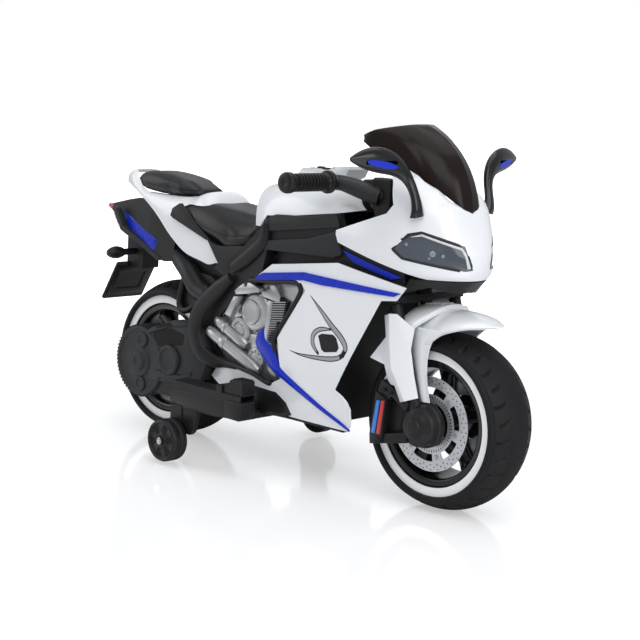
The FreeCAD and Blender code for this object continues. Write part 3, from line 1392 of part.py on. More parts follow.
axle_room = rod_y("case_axle_room", "axle_radius + panel_gap", "-case_outer - cut_overrun",
                  "case_outer + cut_overrun", rear_x, axle_z)
right_case = case_solid("right_case", "-case_outer", "-case_inner")
tongue_right = block("right_case_tongue", (arm_front + " - case_wall", "-tongue_outer", arm_low),
                     (tub_x0 + " - panel_gap", "-case_inner", arm_high))
tab_right = block("right_case_tab", (arm_front, "-tongue_outer", arm_low),
                  (tub_x0 + " + tub_wall * 4", "-tub_half_width - panel_gap", "tub_base + case_wall * 10"))
boss_right = rod_y("right_case_boss", "case_radius * 0.26", "-case_outer - case_wall * 2", "-case_outer",
                   rear_x + " + case_radius * 1.26", axle_z + " + case_radius * 0.2")
right_all = fuse("right_case_all", right_case + [tongue_right, tab_right, boss_right])
keep("gear_case_right", cut("right_case_bored", right_all, axle_room))

wheel_teeth, pinion_teeth = 64, 14
pitch_gap = "gear_module * %d" % ((wheel_teeth + pinion_teeth) // 2)
motor_x = rear_x + " + " + pitch_gap
left_outer = case_solid("left_case", "case_inner", "case_outer")
tongue_left = block("left_case_tongue", (arm_front + " - case_wall", "case_inner", arm_low),
                    (tub_x0 + " - panel_gap", "tongue_outer", arm_high))
tab_left = block("left_case_tab", (arm_front, "tub_half_width + panel_gap", arm_low),
                 (tub_x0 + " + tub_wall * 4", "tongue_outer", "tub_base + case_wall * 10"))
gear_room = rod_y("left_case_gear_room", "case_radius - case_wall", "gear_inner - case_wall",
                  "gear_inner + gear_face + case_wall", rear_x, axle_z)
motor_room = rod_y("left_case_motor_room", "motor_radius + panel_gap", "gear_inner - case_wall",
                   "gear_inner + gear_face + case_wall + motor_length + panel_gap", motor_x, axle_z)
sleeve_room = rod_y("left_case_sleeve_room", "gear_sleeve_radius + case_wall", "case_inner - cut_overrun",
                    "gear_inner", rear_x, axle_z)
left_rooms = fuse("left_case_rooms", [gear_room, motor_room, sleeve_room, axle_room])
left_all = fuse("left_case_all", left_outer + [tongue_left, tab_left])
keep("gear_case_left", cut("left_case_hollow", left_all, left_rooms))

# Motor and gears
motor_start = "gear_inner + gear_face + case_wall"
motor_can = rod_y("motor_can", "motor_radius", motor_start, motor_start + " + motor_length", motor_x, axle_z)
motor_shaft = rod_y("motor_shaft", "motor_shaft_radius", "gear_inner", motor_start + " + case_wall", motor_x,
                    axle_z)
keep("drive_motor", fuse("drive_motor_all", [motor_can, motor_shaft]))


def involute(base, radius):
    # polar angle of the involute of a base circle at a radius
    turn = math.sqrt(max((radius / base) ** 2 - 1, 0))
    return turn - math.atan(turn)


def gear_blank(teeth, module, thickness, slack, turn):
    # an involute spur gear about Y, its first tooth at the angle turn
    pressure = math.radians(20)
    pitch = module * teeth / 2
    base = pitch * math.cos(pressure)
    root, tip = pitch - 1.25 * module, pitch + module
    half = math.pi / (2 * teeth) - slack / (2 * pitch) + involute(base, pitch)
    low = max(root, base)
    points = []
    for tooth in range(teeth):
        middle = turn + 2 * math.pi * tooth / teeth
        flank = [low + (tip - low) * k / 4 for k in range(5)]
        rise = [(radius, -(half - involute(base, radius))) for radius in flank]
        fall = [(radius, -angle) for radius, angle in reversed(rise)]
        side = [(root, rise[0][1])] + rise + fall + [(root, fall[-1][1])]
        points += [V(r * math.cos(middle + a), 0, r * math.sin(middle + a)) for r, a in side]
    face = Part.Face(Part.makePolygon(points + points[:1]))
    return face.extrude(V(0, thickness, 0))


module = mm("gear_module")
gear_y, gear_t = mm("gear_inner"), mm("gear_face")
wheel_gear = gear_blank(wheel_teeth, module, gear_t, mm("mesh_slack"), 0.0)
wheel_gear = wheel_gear.fuse(turned(mm("gear_sleeve_radius"), gear_y - mm("hub_half"),
                                    V(0, mm("hub_half") - gear_y, 0), V(0, 1, 0)))
wheel_gear = wheel_gear.cut(turned(mm("axle_radius") + gap, 4 * gear_y, V(0, -2 * gear_y, 0), V(0, 1, 0)))
gear_obj = shaped("wheel_gear_spur", wheel_gear)
gear_obj.Placement = FreeCAD.Placement(V(rx, gear_y, az), FreeCAD.Rotation())
keep("wheel_gear", gear_obj)
facing = math.pi + math.pi / pinion_teeth
pinion = gear_blank(pinion_teeth, module, gear_t, mm("mesh_slack"), facing)
pinion = pinion.cut(turned(mm("motor_shaft_radius") + mm("running_gap"), 4 * gear_t, V(0, -2 * gear_t, 0),
                           V(0, 1, 0)))
pinion_obj = shaped("motor_pinion_spur", pinion)
pinion_obj.Placement = FreeCAD.Placement(V(mm(motor_x), gear_y, az), FreeCAD.Rotation())
keep("motor_pinion", pinion_obj)

# Main frame: a hollow tub, a front bulkhead, a shelf under the tank, the steering head and a rear spine
tub = block("tub_block", (tub_x0, "-tub_half_width", "tub_base"), (tub_x1, "tub_half_width", tub_top))
tub_room = block("tub_room", (tub_x0 + " + tub_wall", "-tub_half_width + tub_wall", "tub_base + tub_wall"),
                 (tub_x1 + " - tub_wall", "tub_half_width - tub_wall", tub_top + " - tub_wall"))
post = block("tank_post", (dash_x0, "-spine_half_width", tub_top),
             (dash_x1, "spine_half_width", dash_base + " - panel_gap"))
tub_hollow = cut("tub_hollow", tub, tub_room)

bulk_x = mm(tub_x1)
bulk_t = mm("bulkhead_thickness")
bulk_levels = spread(0.03, 0.86, 7)
a_front = (bulk_x + bulk_t - fairing_box[0]) / fairing_box[1]
bulk_right = []
for b in bulk_levels:
    edge_point = side_place(a_front, b)
    bulk_right.append(V(bulk_x, edge_point.y + wall + gap, edge_point.z))
bulk_left = [V(p.x, -p.y, p.z) for p in reversed(bulk_right)]
bulk_points = bulk_right + bulk_left
bulkhead = shaped("front_bulkhead",
                  Part.Face(Part.makePolygon(bulk_points + bulk_points[:1])).extrude(V(bulk_t, 0, 0)))

shelf_right = []
for place in spread(0.36, a_front, 5):
    edge_point = side_place(place, 1.0)
    shelf_right.append(V(edge_point.x, edge_point.y + recess + wall + gap,
                         mm(tub_top) - mm("shelf_thickness")))
shelf_left = [V(p.x, -p.y, p.z) for p in reversed(shelf_right)]
shelf_points = shelf_right + shelf_left
shelf = shaped("tank_shelf", Part.Face(Part.makePolygon(shelf_points + shelf_points[:1])).extrude(
    V(0, 0, mm("shelf_thickness"))))

head_s, head_len = mm("head_rise"), mm("head_length")
head_r = stem_r + mm("head_wall")
head_tube = rod(along_axis(head_s), along_axis(head_s + head_len), head_r)
head_bore = rod(along_axis(head_s - overrun), along_axis(head_s + head_len + overrun), stem_r
                + mm("running_gap"))
neck_low = mm(tub_top) - mm("shelf_thickness")
neck_x = along_axis(head_s + head_len * 0.5).x
neck = Part.makeBox(neck_x - bulk_x, 2 * head_r * 0.8, along_axis(head_s + head_len * 0.9).z - neck_low,
                    V(bulk_x, -head_r * 0.8, neck_low))
bucket_x = nose_x0 + nose_box[1] * 0.56
bracket_z = along_axis(head_s + head_len * 0.35).z
bracket = Part.makeBox(bucket_x - gap - along_axis(head_s + head_len * 0.5).x, head_r, head_r,
                       V(along_axis(head_s + head_len * 0.5).x, -head_r / 2, bracket_z))
head = shaped("steering_head", head_tube.fuse([neck, bracket]).cut(head_bore))

spine_half = mm("spine_half_width")
spine_x1 = mm(tub_x0) + mm("tub_wall")


def spine_points():
    # under the saddle's base, over the rear tyre and inside the tail cowl
    tyre_top = 2 * az + 4 * wall
    low_x = rx + mm("tyre_radius") * 0.4
    rear = tail_box[0] + tail_box[1] * under_cowl_shares[0]
    upper = []
    for s in (0.56, 0.45, 0.3, 0.15):
        x = seat_box[0] + seat_box[1] * s
        upper.append(V(x, 0, seat_box[2] + seat_box[3] * smooth_at(seat_low_shares, s) - 3 * wall))
    rear_top = tail_edge(rear) + tail_box[3] * 0.06
    lower = []
    for s in under_cowl_shares + (0.6,):
        x = tail_box[0] + tail_box[1] * s
        lower.append(V(x, 0, tail_edge(x) + gap))
    return ([V(spine_x1, 0, tyre_top), V(spine_x1, 0, upper[0].z)] + upper + [V(rear, 0, rear_top)] + lower
            + [V(low_x, 0, tyre_top)])


points = [V(p.x, -spine_half, p.z) for p in spine_points()]
spine = shaped("rear_spine", Part.Face(Part.makePolygon(points + points[:1])).extrude(V(0,
                                                                                        2 * spine_half, 0)))
keep("main_frame", fuse("main_frame_all", [tub_hollow, shelf, post, bulkhead, head, spine]))

# Battery and control board on the tub's floor
floor_z = "tub_base + tub_wall + panel_gap"
battery_x0 = tub_x0 + " + tub_wall * 2"
battery = block("battery_block", (battery_x0, "-battery_width / 2", floor_z),
                (battery_x0 + " + battery_length", "battery_width / 2", floor_z + " + battery_height"))
keep("battery", rounded("battery_rounded", battery, "tub_wall / 3", lambda edge: is_along(edge, V(0, 0, 1))))
board_x0 = tub_x0 + " + tub_wall * 3 + battery_length"
board = block("board_plate", (board_x0, "-board_width / 2", floor_z),
              (board_x0 + " + board_length", "board_width / 2", floor_z + " + board_height / 4"))
heat_sink = block("board_sink", (board_x0 + " + board_length * 0.2", "-board_width / 4", floor_z),
                  (board_x0 + " + board_length * 0.7", "board_width / 4", floor_z + " + board_height"))
keep("control_board", fuse("control_board_all", [board, heat_sink]))

# Footrests: a beam each side, an arm under the tub, and a well for the pedal on the right
rest_x0 = front_x + " - footrest_setback - footrest_length"
rest_x1 = front_x + " - footrest_setback"
rest_top = "(footrest_base + footrest_height)"
rest_in = "(footrest_outer - footrest_width)"


def footrest(name, side):
    low_y, high_y = ("-footrest_outer", "-" + rest_in) if side < 0 else (rest_in, "footrest_outer")
    beam = block(name + "_beam", (rest_x0, low_y, "footrest_base"), (rest_x1, high_y, rest_top))
    arm_low_y, arm_high_y = ("-" + rest_in + " - panel_wall", "-tub_half_width / 3") if side < 0 else \
        ("tub_half_width / 3", rest_in + " + panel_wall")
    arm_x = rest_x1 + " - footrest_arm_length * 1.5"
    arm_top = "fairing_base - panel_gap * 4"
    arm = block(name + "_arm", (arm_x, arm_low_y, "footrest_base - footrest_height * 0.2"),
                (arm_x + " + footrest_arm_length", arm_high_y, arm_top))
    lift_low, lift_high = ("-tub_half_width", "-tub_half_width / 3") if side < 0 else \
        ("tub_half_width / 3", "tub_half_width")
    lift = block(name + "_lift", (arm_x, lift_low, arm_top), (arm_x + " + footrest_arm_length", lift_high,
                                                              "tub_base - panel_gap"))
    return fuse(name, [beam, arm, lift])


pedal_x0 = rest_x1 + " - pedal_length"
pedal_y0 = "-footrest_outer + pedal_wall"
pedal_y1 = "-" + rest_in + " - pedal_wall"
pedal_base = rest_top + " - panel_gap"
pin_x = pedal_x0 + " + pedal_thickness / 2"
pin_z = pedal_base + " + pedal_thickness / 2"
well = block("pedal_room", (pedal_x0 + " - cut_overrun", pedal_y0, rest_top + " - pedal_well"),
             (rest_x1 + " + cut_overrun", pedal_y1, rest_top + " + cut_overrun"))
right_beam = cut("right_rest_well", footrest("right_rest", -1), well)
ear_out = block("pedal_ear_out", (pedal_x0, "-footrest_outer", rest_top + " - pedal_well"),
                (pedal_x0 + " + pedal_thickness", pedal_y0, pin_z + " + pedal_pin_radius * 2"))
ear_in = block("pedal_ear_in", (pedal_x0, pedal_y1, rest_top + " - pedal_well"),
               (pedal_x0 + " + pedal_thickness", "-" + rest_in, pin_z + " + pedal_pin_radius * 2"))
pedal_pin = rod_y("pedal_pin", "pedal_pin_radius", "-footrest_outer", "-" + rest_in, pin_x, pin_z)
right_rest = fuse("right_rest_all", [right_beam, ear_out, ear_in, pedal_pin])
both_rests = doc.addObject("Part::Compound", "footrest_pair")
both_rests.Links = [right_rest, footrest("left_rest", 1)]
keep("footrests", both_rests)

pedal_plate = block("pedal_plate", (pin_x, pedal_y0 + " + panel_gap", pedal_base),
                    (rest_x1, pedal_y1 + " - panel_gap", pedal_base + " + pedal_thickness"))
pedal_eye = rod_y("pedal_eye", "pedal_thickness / 2", pedal_y0 + " + panel_gap", pedal_y1 + " - panel_gap",
                  pin_x, pin_z)
pedal_stop = block("pedal_stop", (rest_x1 + " - pedal_length * 0.5", pedal_y0 + " + panel_gap", pedal_base),
                   (rest_x1, pedal_y1 + " - panel_gap", pedal_base + " + pedal_thickness + pedal_block"))
pedal_bore = rod_y("pedal_bore", "pedal_pin_radius + running_gap", "-footrest_outer - cut_overrun",
                   "-" + rest_in + " + cut_overrun", pin_x, pin_z)
pedal_solid = fuse("pedal_solid", [pedal_plate, pedal_eye, pedal_stop])
keep("throttle_pedal", cut("pedal_all", pedal_solid, pedal_bore))

# Training wheels on pins that stand out of a bracket under each footrest
train_x = front_x + " - training_setback"
train_z = "training_radius + training_lift"
train_in = "(training_half - training_width / 2)"
train_out = "(training_half + training_width / 2)"
bracket_out = train_in + " - panel_gap * 4"
bracket_plate = block("bracket_plate", (train_x + " - bracket_width / 2", "-(" + bracket_out + ")",
                                        train_z + " - bracket_width / 2"),
                      (train_x + " + bracket_width / 2", "-(" + bracket_out + ") + bracket_thickness",
                       "footrest_base - panel_gap"))
training_pin = rod_y("training_pin", "training_pin_radius", "-" + train_out + " - panel_wall",
                     "-(" + bracket_out + ") + bracket_thickness / 2", train_x, train_z)
training_cap = rod_y("training_cap", "training_pin_radius * 1.7", "-" + train_out + " - panel_wall",
                     "-" + train_out + " - panel_gap", train_x, train_z)
bracket_all = fuse("bracket_all", [bracket_plate, training_pin, training_cap])
keep("training_brackets", mirrored_pair("bracket_pair", bracket_all))


def training_wheel(node, side):
    centre = "training_half" if side > 0 else "-training_half"
    wheel = new_body(node + "_body", (train_x, centre, train_z))
    bore = "training_pin_radius + running_gap"
    half = "training_width / 2"
    revolve(wheel, node + "_turn", [
        ("-" + half, bore), (half, bore), (half, "training_radius * 0.84"),
        ("training_width * 0.4", "training_radius * 0.97"), ("training_width * 0.12", "training_radius"),
        ("training_width * -0.12", "training_radius"), ("training_width * -0.4", "training_radius * 0.97"),
        ("-" + half, "training_radius * 0.84")])

    def window(sketch):
        draw_circle(sketch, "training_radius * 0.13", "0", "training_radius * 0.52")
    hole = pad(wheel, node + "_window", window, "training_width + 2 * cut_overrun", "PartDesign::Pocket")
    repeat(wheel, node + "_windows", hole, 6)
    keep(node, wheel)


training_wheel("training_wheel_right", -1)
training_wheel("training_wheel_left", 1)

# Screws on the outer faces of the gear cases
screw_shares = [(-0.62, 0.55), (-0.62, -0.55), (0.5, 0.62), (0.5, -0.62)]
heads = []
for number, (a, b) in enumerate(screw_shares):
    heads.append(rod_y("screw_%d" % number, "screw_radius", "-case_outer - screw_head", "-case_outer",
                       rear_x + " + case_radius * %g" % a, axle_z + " + case_radius * %g" % b))
screw_group = doc.addObject("Part::Compound", "screw_group")
screw_group.Links = heads
keep("screws", mirrored_pair("screw_pair", screw_group))

# Check everything, then write the sub-parts
doc.recompute()
faults = [obj.Name for obj in doc.Objects if "Invalid" in obj.State or "Error" in obj.State]
for obj in nodes:
    if obj.Shape.isNull() or not obj.Shape.isValid() or not obj.Shape.Solids:
        faults.append(obj.Label)
if faults:
    raise RuntimeError("failed pieces: " + ", ".join(faults))
os.makedirs("parts", exist_ok=True)
for obj in nodes:
    obj.Shape.exportStep("parts/%s.step" % obj.Label)
    print("%-24s %2d solids %12.0f mm3" % (obj.Label, len(obj.Shape.Solids), obj.Shape.Volume))
print(len(nodes), "nodes")
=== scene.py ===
import json
import math
import bmesh
import bpy
import numpy as np
from mathutils import Matrix, Vector
from mathutils.bvhtree import BVHTree

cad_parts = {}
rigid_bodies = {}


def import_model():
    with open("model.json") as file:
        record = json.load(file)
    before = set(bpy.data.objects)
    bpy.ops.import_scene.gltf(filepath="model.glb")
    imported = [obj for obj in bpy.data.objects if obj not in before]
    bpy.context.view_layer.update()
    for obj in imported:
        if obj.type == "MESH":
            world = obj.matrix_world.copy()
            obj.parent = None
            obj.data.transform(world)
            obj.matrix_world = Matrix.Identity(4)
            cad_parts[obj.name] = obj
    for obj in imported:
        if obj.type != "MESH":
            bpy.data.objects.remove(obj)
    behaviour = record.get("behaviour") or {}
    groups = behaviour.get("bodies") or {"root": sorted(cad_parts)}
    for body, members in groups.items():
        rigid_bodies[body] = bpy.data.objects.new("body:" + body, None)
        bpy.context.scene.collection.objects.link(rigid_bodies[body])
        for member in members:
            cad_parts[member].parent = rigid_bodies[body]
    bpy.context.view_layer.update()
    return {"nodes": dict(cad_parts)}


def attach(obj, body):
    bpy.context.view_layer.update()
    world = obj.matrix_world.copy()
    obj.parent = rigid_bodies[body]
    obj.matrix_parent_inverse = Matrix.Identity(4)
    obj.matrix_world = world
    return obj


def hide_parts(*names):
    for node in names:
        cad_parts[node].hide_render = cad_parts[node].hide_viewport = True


for leftover in list(bpy.data.objects):
    bpy.data.objects.remove(leftover)
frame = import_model()
nodes = frame["nodes"]
print("stage: frame loaded,", len(nodes), "nodes")


def addObject(name, data):
    made = bpy.data.objects.new(name, data)
    bpy.context.scene.collection.objects.link(made)
    return made


# node trees: a node with its values set, and a run of links
def setInputs(node, **values):
    for label, value in values.items():
        node.inputs[label.replace("_", " ")].default_value = value


def put(tree, kind, operation=None, **values):
    node = tree.nodes.new(kind)
    if operation:
        node.operation = operation
    setInputs(node, **values)
    return node


def wire(tree, *pairs):
    for source, target in pairs:
        tree.links.new(source, target)


# camera and light
view = {"place": (2.0562, -2.0855, 0.7529), "azimuth": 43.48, "elevation": 9.08, "roll": 3.0, "lens": 85.13,
        "clipEnd": 60}


def aimCamera():
    a, e, roll = (math.radians(view[k]) for k in ("azimuth", "elevation", "roll"))
    ahead = Vector((-math.sin(a) * math.cos(e), math.cos(a) * math.cos(e), -math.sin(e)))
    right = Vector((math.cos(a), math.sin(a), 0))
    up = right.cross(ahead)
    across = right * math.cos(roll) + up * math.sin(roll)
    upright = up * math.cos(roll) - right * math.sin(roll)
    camera = addObject("camera", bpy.data.cameras.new("camera"))
    rows = zip(across, upright, -ahead, view["place"])
    camera.matrix_world = Matrix((*rows, (0, 0, 0, 1)))
    camera.data.lens = view["lens"]
    camera.data.clip_end = view["clipEnd"]
    bpy.context.scene.camera = camera


aimCamera()

white = (1, 1, 1, 1)
studio = {
    "key": {"place": (1.8, -2.1, 3.1), "size": 2.4, "power": 38},
    "top": {"place": (0.0, 0.3, 3.6), "size": 3.2, "power": 36},
    "side": {"place": (3.2, -0.4, 1.6), "size": 2.2, "power": 42},
    "back": {"place": (-2.6, -1.7, 1.5), "size": 2.0, "power": 24},
    "rim": {"place": (-1.6, 2.0, 2.1), "size": 1.6, "power": 4},
    "aim": (0.0, 0.0, 0.3), "worldLight": 0.47, "worldTint": (0.94, 0.97, 1, 1),
    "floorHalf": 14.0, "floorTint": (0.86, 0.86, 0.87, 1), "floorRough": 0.11, "floorShine": 0.4,
    "floorGlow": 0.43, "floorFade": (1.0, 2.4, 0.8),
}


def lightStudio():
    for name in ("key", "top", "side", "back", "rim"):
        lamp = bpy.data.lights.new(name + "Lamp", "AREA")
        lamp.energy = studio[name]["power"]
        lamp.size = studio[name]["size"]
        holder = addObject(name + "Lamp", lamp)
        holder.location = studio[name]["place"]
        aim = Vector(studio["aim"]) - holder.location
        holder.rotation_euler = aim.to_track_quat("-Z", "Y").to_euler()
    world = bpy.data.worlds.new("studioWorld")
    bpy.context.scene.world = world
    world.use_nodes = True
    tree = world.node_tree
    tree.nodes.clear()
    out = put(tree, "ShaderNodeOutputWorld")
    seen = put(tree, "ShaderNodeBackground", Color=white, Strength=1.0)
    lit = put(tree, "ShaderNodeBackground", Color=studio["worldTint"], Strength=studio["worldLight"])
    mixed = put(tree, "ShaderNodeMixShader")
    path = put(tree, "ShaderNodeLightPath")
    either = put(tree, "ShaderNodeMath", "MAXIMUM")
    wire(tree, (path.outputs["Is Camera Ray"], either.inputs[0]),
         (path.outputs["Is Transmission Ray"], either.inputs[1]), (either.outputs[0], mixed.inputs[0]),
         (lit.outputs[0], mixed.inputs[1]), (seen.outputs[0], mixed.inputs[2]),
         (mixed.outputs[0], out.inputs[0]))
    bpy.context.scene.view_settings.view_transform = "Standard"


lightStudio()


def layFloor():
    # the floor glows to the camera, more so far out, so that it runs into the white background
    half = studio["floorHalf"]
    mesh = bpy.data.meshes.new("floor")
    mesh.from_pydata([(-half, -half, 0), (half, -half, 0), (half, half, 0), (-half, half, 0)], [],
                     [(0, 1, 2, 3)])
    floor = addObject("floor", mesh)
    paint = bpy.data.materials.new("paleFloor")
    paint.use_nodes = True
    tree = paint.node_tree
    tree.nodes.clear()
    near, far, more = studio["floorFade"]
    out = put(tree, "ShaderNodeOutputMaterial")
    matt = put(tree, "ShaderNodeBsdfDiffuse", Color=studio["floorTint"])
    shine = put(tree, "ShaderNodeBsdfGlossy", Color=white, Roughness=studio["floorRough"])
    both = put(tree, "ShaderNodeMixShader")
    both.inputs[0].default_value = studio["floorShine"]
    glow = put(tree, "ShaderNodeEmission", Color=white)
    path = put(tree, "ShaderNodeLightPath")
    strength = put(tree, "ShaderNodeMath", "MULTIPLY")
    place = put(tree, "ShaderNodeTexCoord")
    distance = put(tree, "ShaderNodeVectorMath", "LENGTH")
    fade = put(tree, "ShaderNodeMapRange", From_Min=near, From_Max=far, To_Min=studio["floorGlow"],
               To_Max=studio["floorGlow"] + more)
    added = put(tree, "ShaderNodeAddShader")
    wire(tree, (place.outputs["Object"], distance.inputs[0]),
         (distance.outputs["Value"], fade.inputs["Value"]),
         (path.outputs["Is Camera Ray"], strength.inputs[0]), (fade.outputs[0], strength.inputs[1]),
         (strength.outputs[0], glow.inputs["Strength"]), (matt.outputs[0], both.inputs[1]),
         (shine.outputs[0], both.inputs[2]), (both.outputs[0], added.inputs[0]),
         (glow.outputs[0], added.inputs[1]), (added.outputs[0], out.inputs[0]))
    floor.data.materials.append(paint)


layFloor()
print("stage: camera, light and floor")


# finishes: one shared group gives cloudy tone, worn gloss and a fine moulded grain
def makeMouldGroup():
    group = bpy.data.node_groups.new("mouldedSkin", "ShaderNodeTree")
    inputs = [("Tone A", "NodeSocketColor", (0.8, 0.8, 0.8, 1)),
              ("Tone B", "NodeSocketColor", (0.7, 0.7, 0.7, 1)),
              ("Cloud Scale", "NodeSocketFloat", 9.0), ("Grain Scale", "NodeSocketFloat", 900.0),
              ("Gloss Low", "NodeSocketFloat", 0.2), ("Gloss High", "NodeSocketFloat", 0.3)]
    for name, kind, value in inputs:
        group.interface.new_socket(name=name, in_out="INPUT", socket_type=kind).default_value = value
    for name, kind in (("Color", "NodeSocketColor"), ("Roughness", "NodeSocketFloat"),
                       ("Height", "NodeSocketFloat")):
        group.interface.new_socket(name=name, in_out="OUTPUT", socket_type=kind)
    given, result = put(group, "NodeGroupInput"), put(group, "NodeGroupOutput")
    place = put(group, "ShaderNodeTexCoord")
    cloud = put(group, "ShaderNodeTexNoise", Detail=4)
    smear = put(group, "ShaderNodeTexNoise", Detail=6, Scale=38)
    grain = put(group, "ShaderNodeTexNoise", Detail=2)
    tone, gloss = put(group, "ShaderNodeMix"), put(group, "ShaderNodeMix")
    tone.data_type = "RGBA"
    for texture in (cloud, smear, grain):
        wire(group, (place.outputs["Object"], texture.inputs["Vector"]))
    wire(group, (given.outputs["Cloud Scale"], cloud.inputs["Scale"]),
         (given.outputs["Grain Scale"], grain.inputs["Scale"]),
         (cloud.outputs["Fac"], tone.inputs["Factor"]), (given.outputs["Tone A"], tone.inputs["A"]),
         (given.outputs["Tone B"], tone.inputs["B"]), (smear.outputs["Fac"], gloss.inputs["Factor"]),
         (given.outputs["Gloss Low"], gloss.inputs["A"]), (given.outputs["Gloss High"], gloss.inputs["B"]),
         (tone.outputs["Result"], result.inputs["Color"]),
         (gloss.outputs["Result"], result.inputs["Roughness"]),
         (grain.outputs["Fac"], result.inputs["Height"]))
    return group


mouldGroup = makeMouldGroup()

# a and b are the tones, gloss the range of roughness; bump is the strength of the grain, or of pebbles
finishes = {
    "glossWhite": {"a": (0.80, 0.815, 0.84), "b": (0.765, 0.785, 0.815), "gloss": (0.2, 0.3), "cloud": 5,
                   "grain": 420, "bump": 0.012, "coat": 0.45},
    "satinBlack": {"a": (0.014, 0.014, 0.015), "b": (0.009, 0.009, 0.01), "gloss": (0.34, 0.48),
                   "cloud": 14, "grain": 1500, "bump": 0.07, "shine": 0.26},
    "greyMould": {"a": (0.026, 0.027, 0.029), "b": (0.019, 0.02, 0.021), "gloss": (0.42, 0.58), "cloud": 12,
                  "grain": 1500, "bump": 0.08, "shine": 0.26},
    "ashGrey": {"a": (0.36, 0.365, 0.38), "b": (0.29, 0.295, 0.31), "gloss": (0.35, 0.5), "cloud": 14,
                "bump": 0.04},
    "paleStrip": {"a": (0.62, 0.63, 0.64), "b": (0.54, 0.55, 0.56), "gloss": (0.18, 0.28), "cloud": 30,
                  "grain": 500, "bump": 0.01, "coat": 0.3},
    "lampGlint": {"a": (0.3, 0.33, 0.37), "b": (0.22, 0.25, 0.29), "gloss": (0.08, 0.14), "cloud": 60,
                  "coat": 0.5, "metal": 0.5},
    # a white brighter than the body's for the tyre rings: painted light that lifts their shaded sides
    "litRingWhite": {"a": (0.93, 0.935, 0.94), "b": (0.9, 0.905, 0.91), "gloss": (0.24, 0.34), "grain": 500,
                  "bump": 0.01, "coat": 0.3},
    "slateGrey": {"a": (0.12, 0.123, 0.13), "b": (0.09, 0.092, 0.1), "gloss": (0.38, 0.5), "cloud": 14,
                  "grain": 1200, "bump": 0.06, "shine": 0.35},
    # near black for sheets laid in gaps, pockets and windows: painted shade where these recesses fall dark
    "deepBlack": {"a": (0.006, 0.006, 0.0065), "b": (0.004, 0.004, 0.0045), "gloss": (0.5, 0.65),
                  "cloud": 14, "grain": 1500, "bump": 0.05, "shine": 0.2},
    "signalRed": {"a": (0.56, 0.03, 0.035), "b": (0.48, 0.022, 0.028), "gloss": (0.24, 0.36), "cloud": 8,
                  "grain": 500, "bump": 0.01, "coat": 0.1},
    "skyBlue": {"a": (0.035, 0.22, 0.72), "b": (0.028, 0.18, 0.64), "gloss": (0.24, 0.36), "cloud": 8,
                "grain": 500, "bump": 0.01, "coat": 0.1},
    "glossBlack": {"a": (0.008, 0.008, 0.009), "b": (0.005, 0.005, 0.006), "gloss": (0.16, 0.24),
                   "cloud": 8, "grain": 500, "bump": 0.006, "coat": 0.15, "shine": 0.35},
    "royalBlue": {"a": (0.008, 0.03, 0.5), "b": (0.006, 0.022, 0.42), "gloss": (0.22, 0.34), "cloud": 8,
                  "grain": 500, "bump": 0.01, "coat": 0.1, "shine": 0.25},
    "castSilver": {"a": (0.5, 0.505, 0.515), "b": (0.36, 0.365, 0.375), "gloss": (0.24, 0.38), "cloud": 26,
                   "grain": 700, "bump": 0.03, "metal": 0.82},
    # a darker, duller silver for the engine's back plate: painted recess shade between the castings
    "dullSilver": {"a": (0.46, 0.465, 0.48), "b": (0.36, 0.365, 0.38), "gloss": (0.3, 0.45), "cloud": 26,
                   "grain": 700, "bump": 0.03, "metal": 0.7},
    "discSteel": {"a": (0.62, 0.63, 0.65), "b": (0.5, 0.51, 0.53), "gloss": (0.26, 0.4), "cloud": 40,
                  "bump": 0.03, "metal": 0.75},
    "plainSteel": {"a": (0.5, 0.5, 0.52), "b": (0.4, 0.4, 0.42), "gloss": (0.22, 0.36), "cloud": 60,
                   "bump": 0.03, "metal": 0.95},
    "redLens": {"a": (0.62, 0.035, 0.02), "b": (0.5, 0.02, 0.012), "gloss": (0.12, 0.2), "cloud": 30,
                "grain": 400, "bump": 0.01, "coat": 0.1, "shine": 0.3},
    "tyreRubber": {"a": (0.011, 0.011, 0.012), "b": (0.007, 0.007, 0.008), "gloss": (0.48, 0.66),
                   "cloud": 18, "grain": 1100, "bump": 0.12, "shine": 0.2},
    "gripRubber": {"a": (0.009, 0.009, 0.009), "b": (0.006, 0.006, 0.006), "gloss": (0.3, 0.42),
                   "cloud": 30, "grain": 1300, "bump": 0.1, "shine": 0.3},
    "mirrorGlass": {"a": (0.82, 0.84, 0.86), "b": (0.8, 0.82, 0.84), "gloss": (0.02, 0.05), "cloud": 10,
                    "metal": 1.0},
    "printedBoard": {"a": (0.03, 0.16, 0.07), "b": (0.02, 0.12, 0.05), "gloss": (0.4, 0.5), "cloud": 60,
                     "bump": 0.05},
    "nylonGear": {"a": (0.72, 0.71, 0.66), "b": (0.66, 0.65, 0.6), "gloss": (0.4, 0.5), "cloud": 30,
                  "bump": 0.04},
    "smokedScreen": {"a": (0.013, 0.008, 0.007), "b": (0.0117, 0.0072, 0.0063), "gloss": (0.18, 0.288),
                     "through": 0.08, "ior": 1.42, "shine": 0.22},
    "lampLens": {"a": (0.085, 0.1, 0.125), "b": (0.0765, 0.09, 0.1125), "gloss": (0.06, 0.096),
                 "through": 0.25, "ior": 1.42, "coat": 0.4, "coatRough": 0.03},
    "seatVinyl": {"a": (0.016, 0.016, 0.017), "b": (0.011, 0.011, 0.012), "gloss": (0.4, 0.52),
                  "bump": 0.22, "bumpDepth": 0.0005, "pebble": 620, "shine": 0.3, "coat": 0.12,
                  "coatRough": 0.3},
}
usualFinish = {"coatRough": 0.06, "bumpDepth": 0.0006}
skinSockets = {"cloud": "Cloud Scale", "grain": "Grain Scale"}
shaderSockets = {"metal": "Metallic", "shine": "Specular IOR Level", "coat": "Coat Weight",
                 "coatRough": "Coat Roughness", "through": "Transmission Weight", "ior": "IOR"}


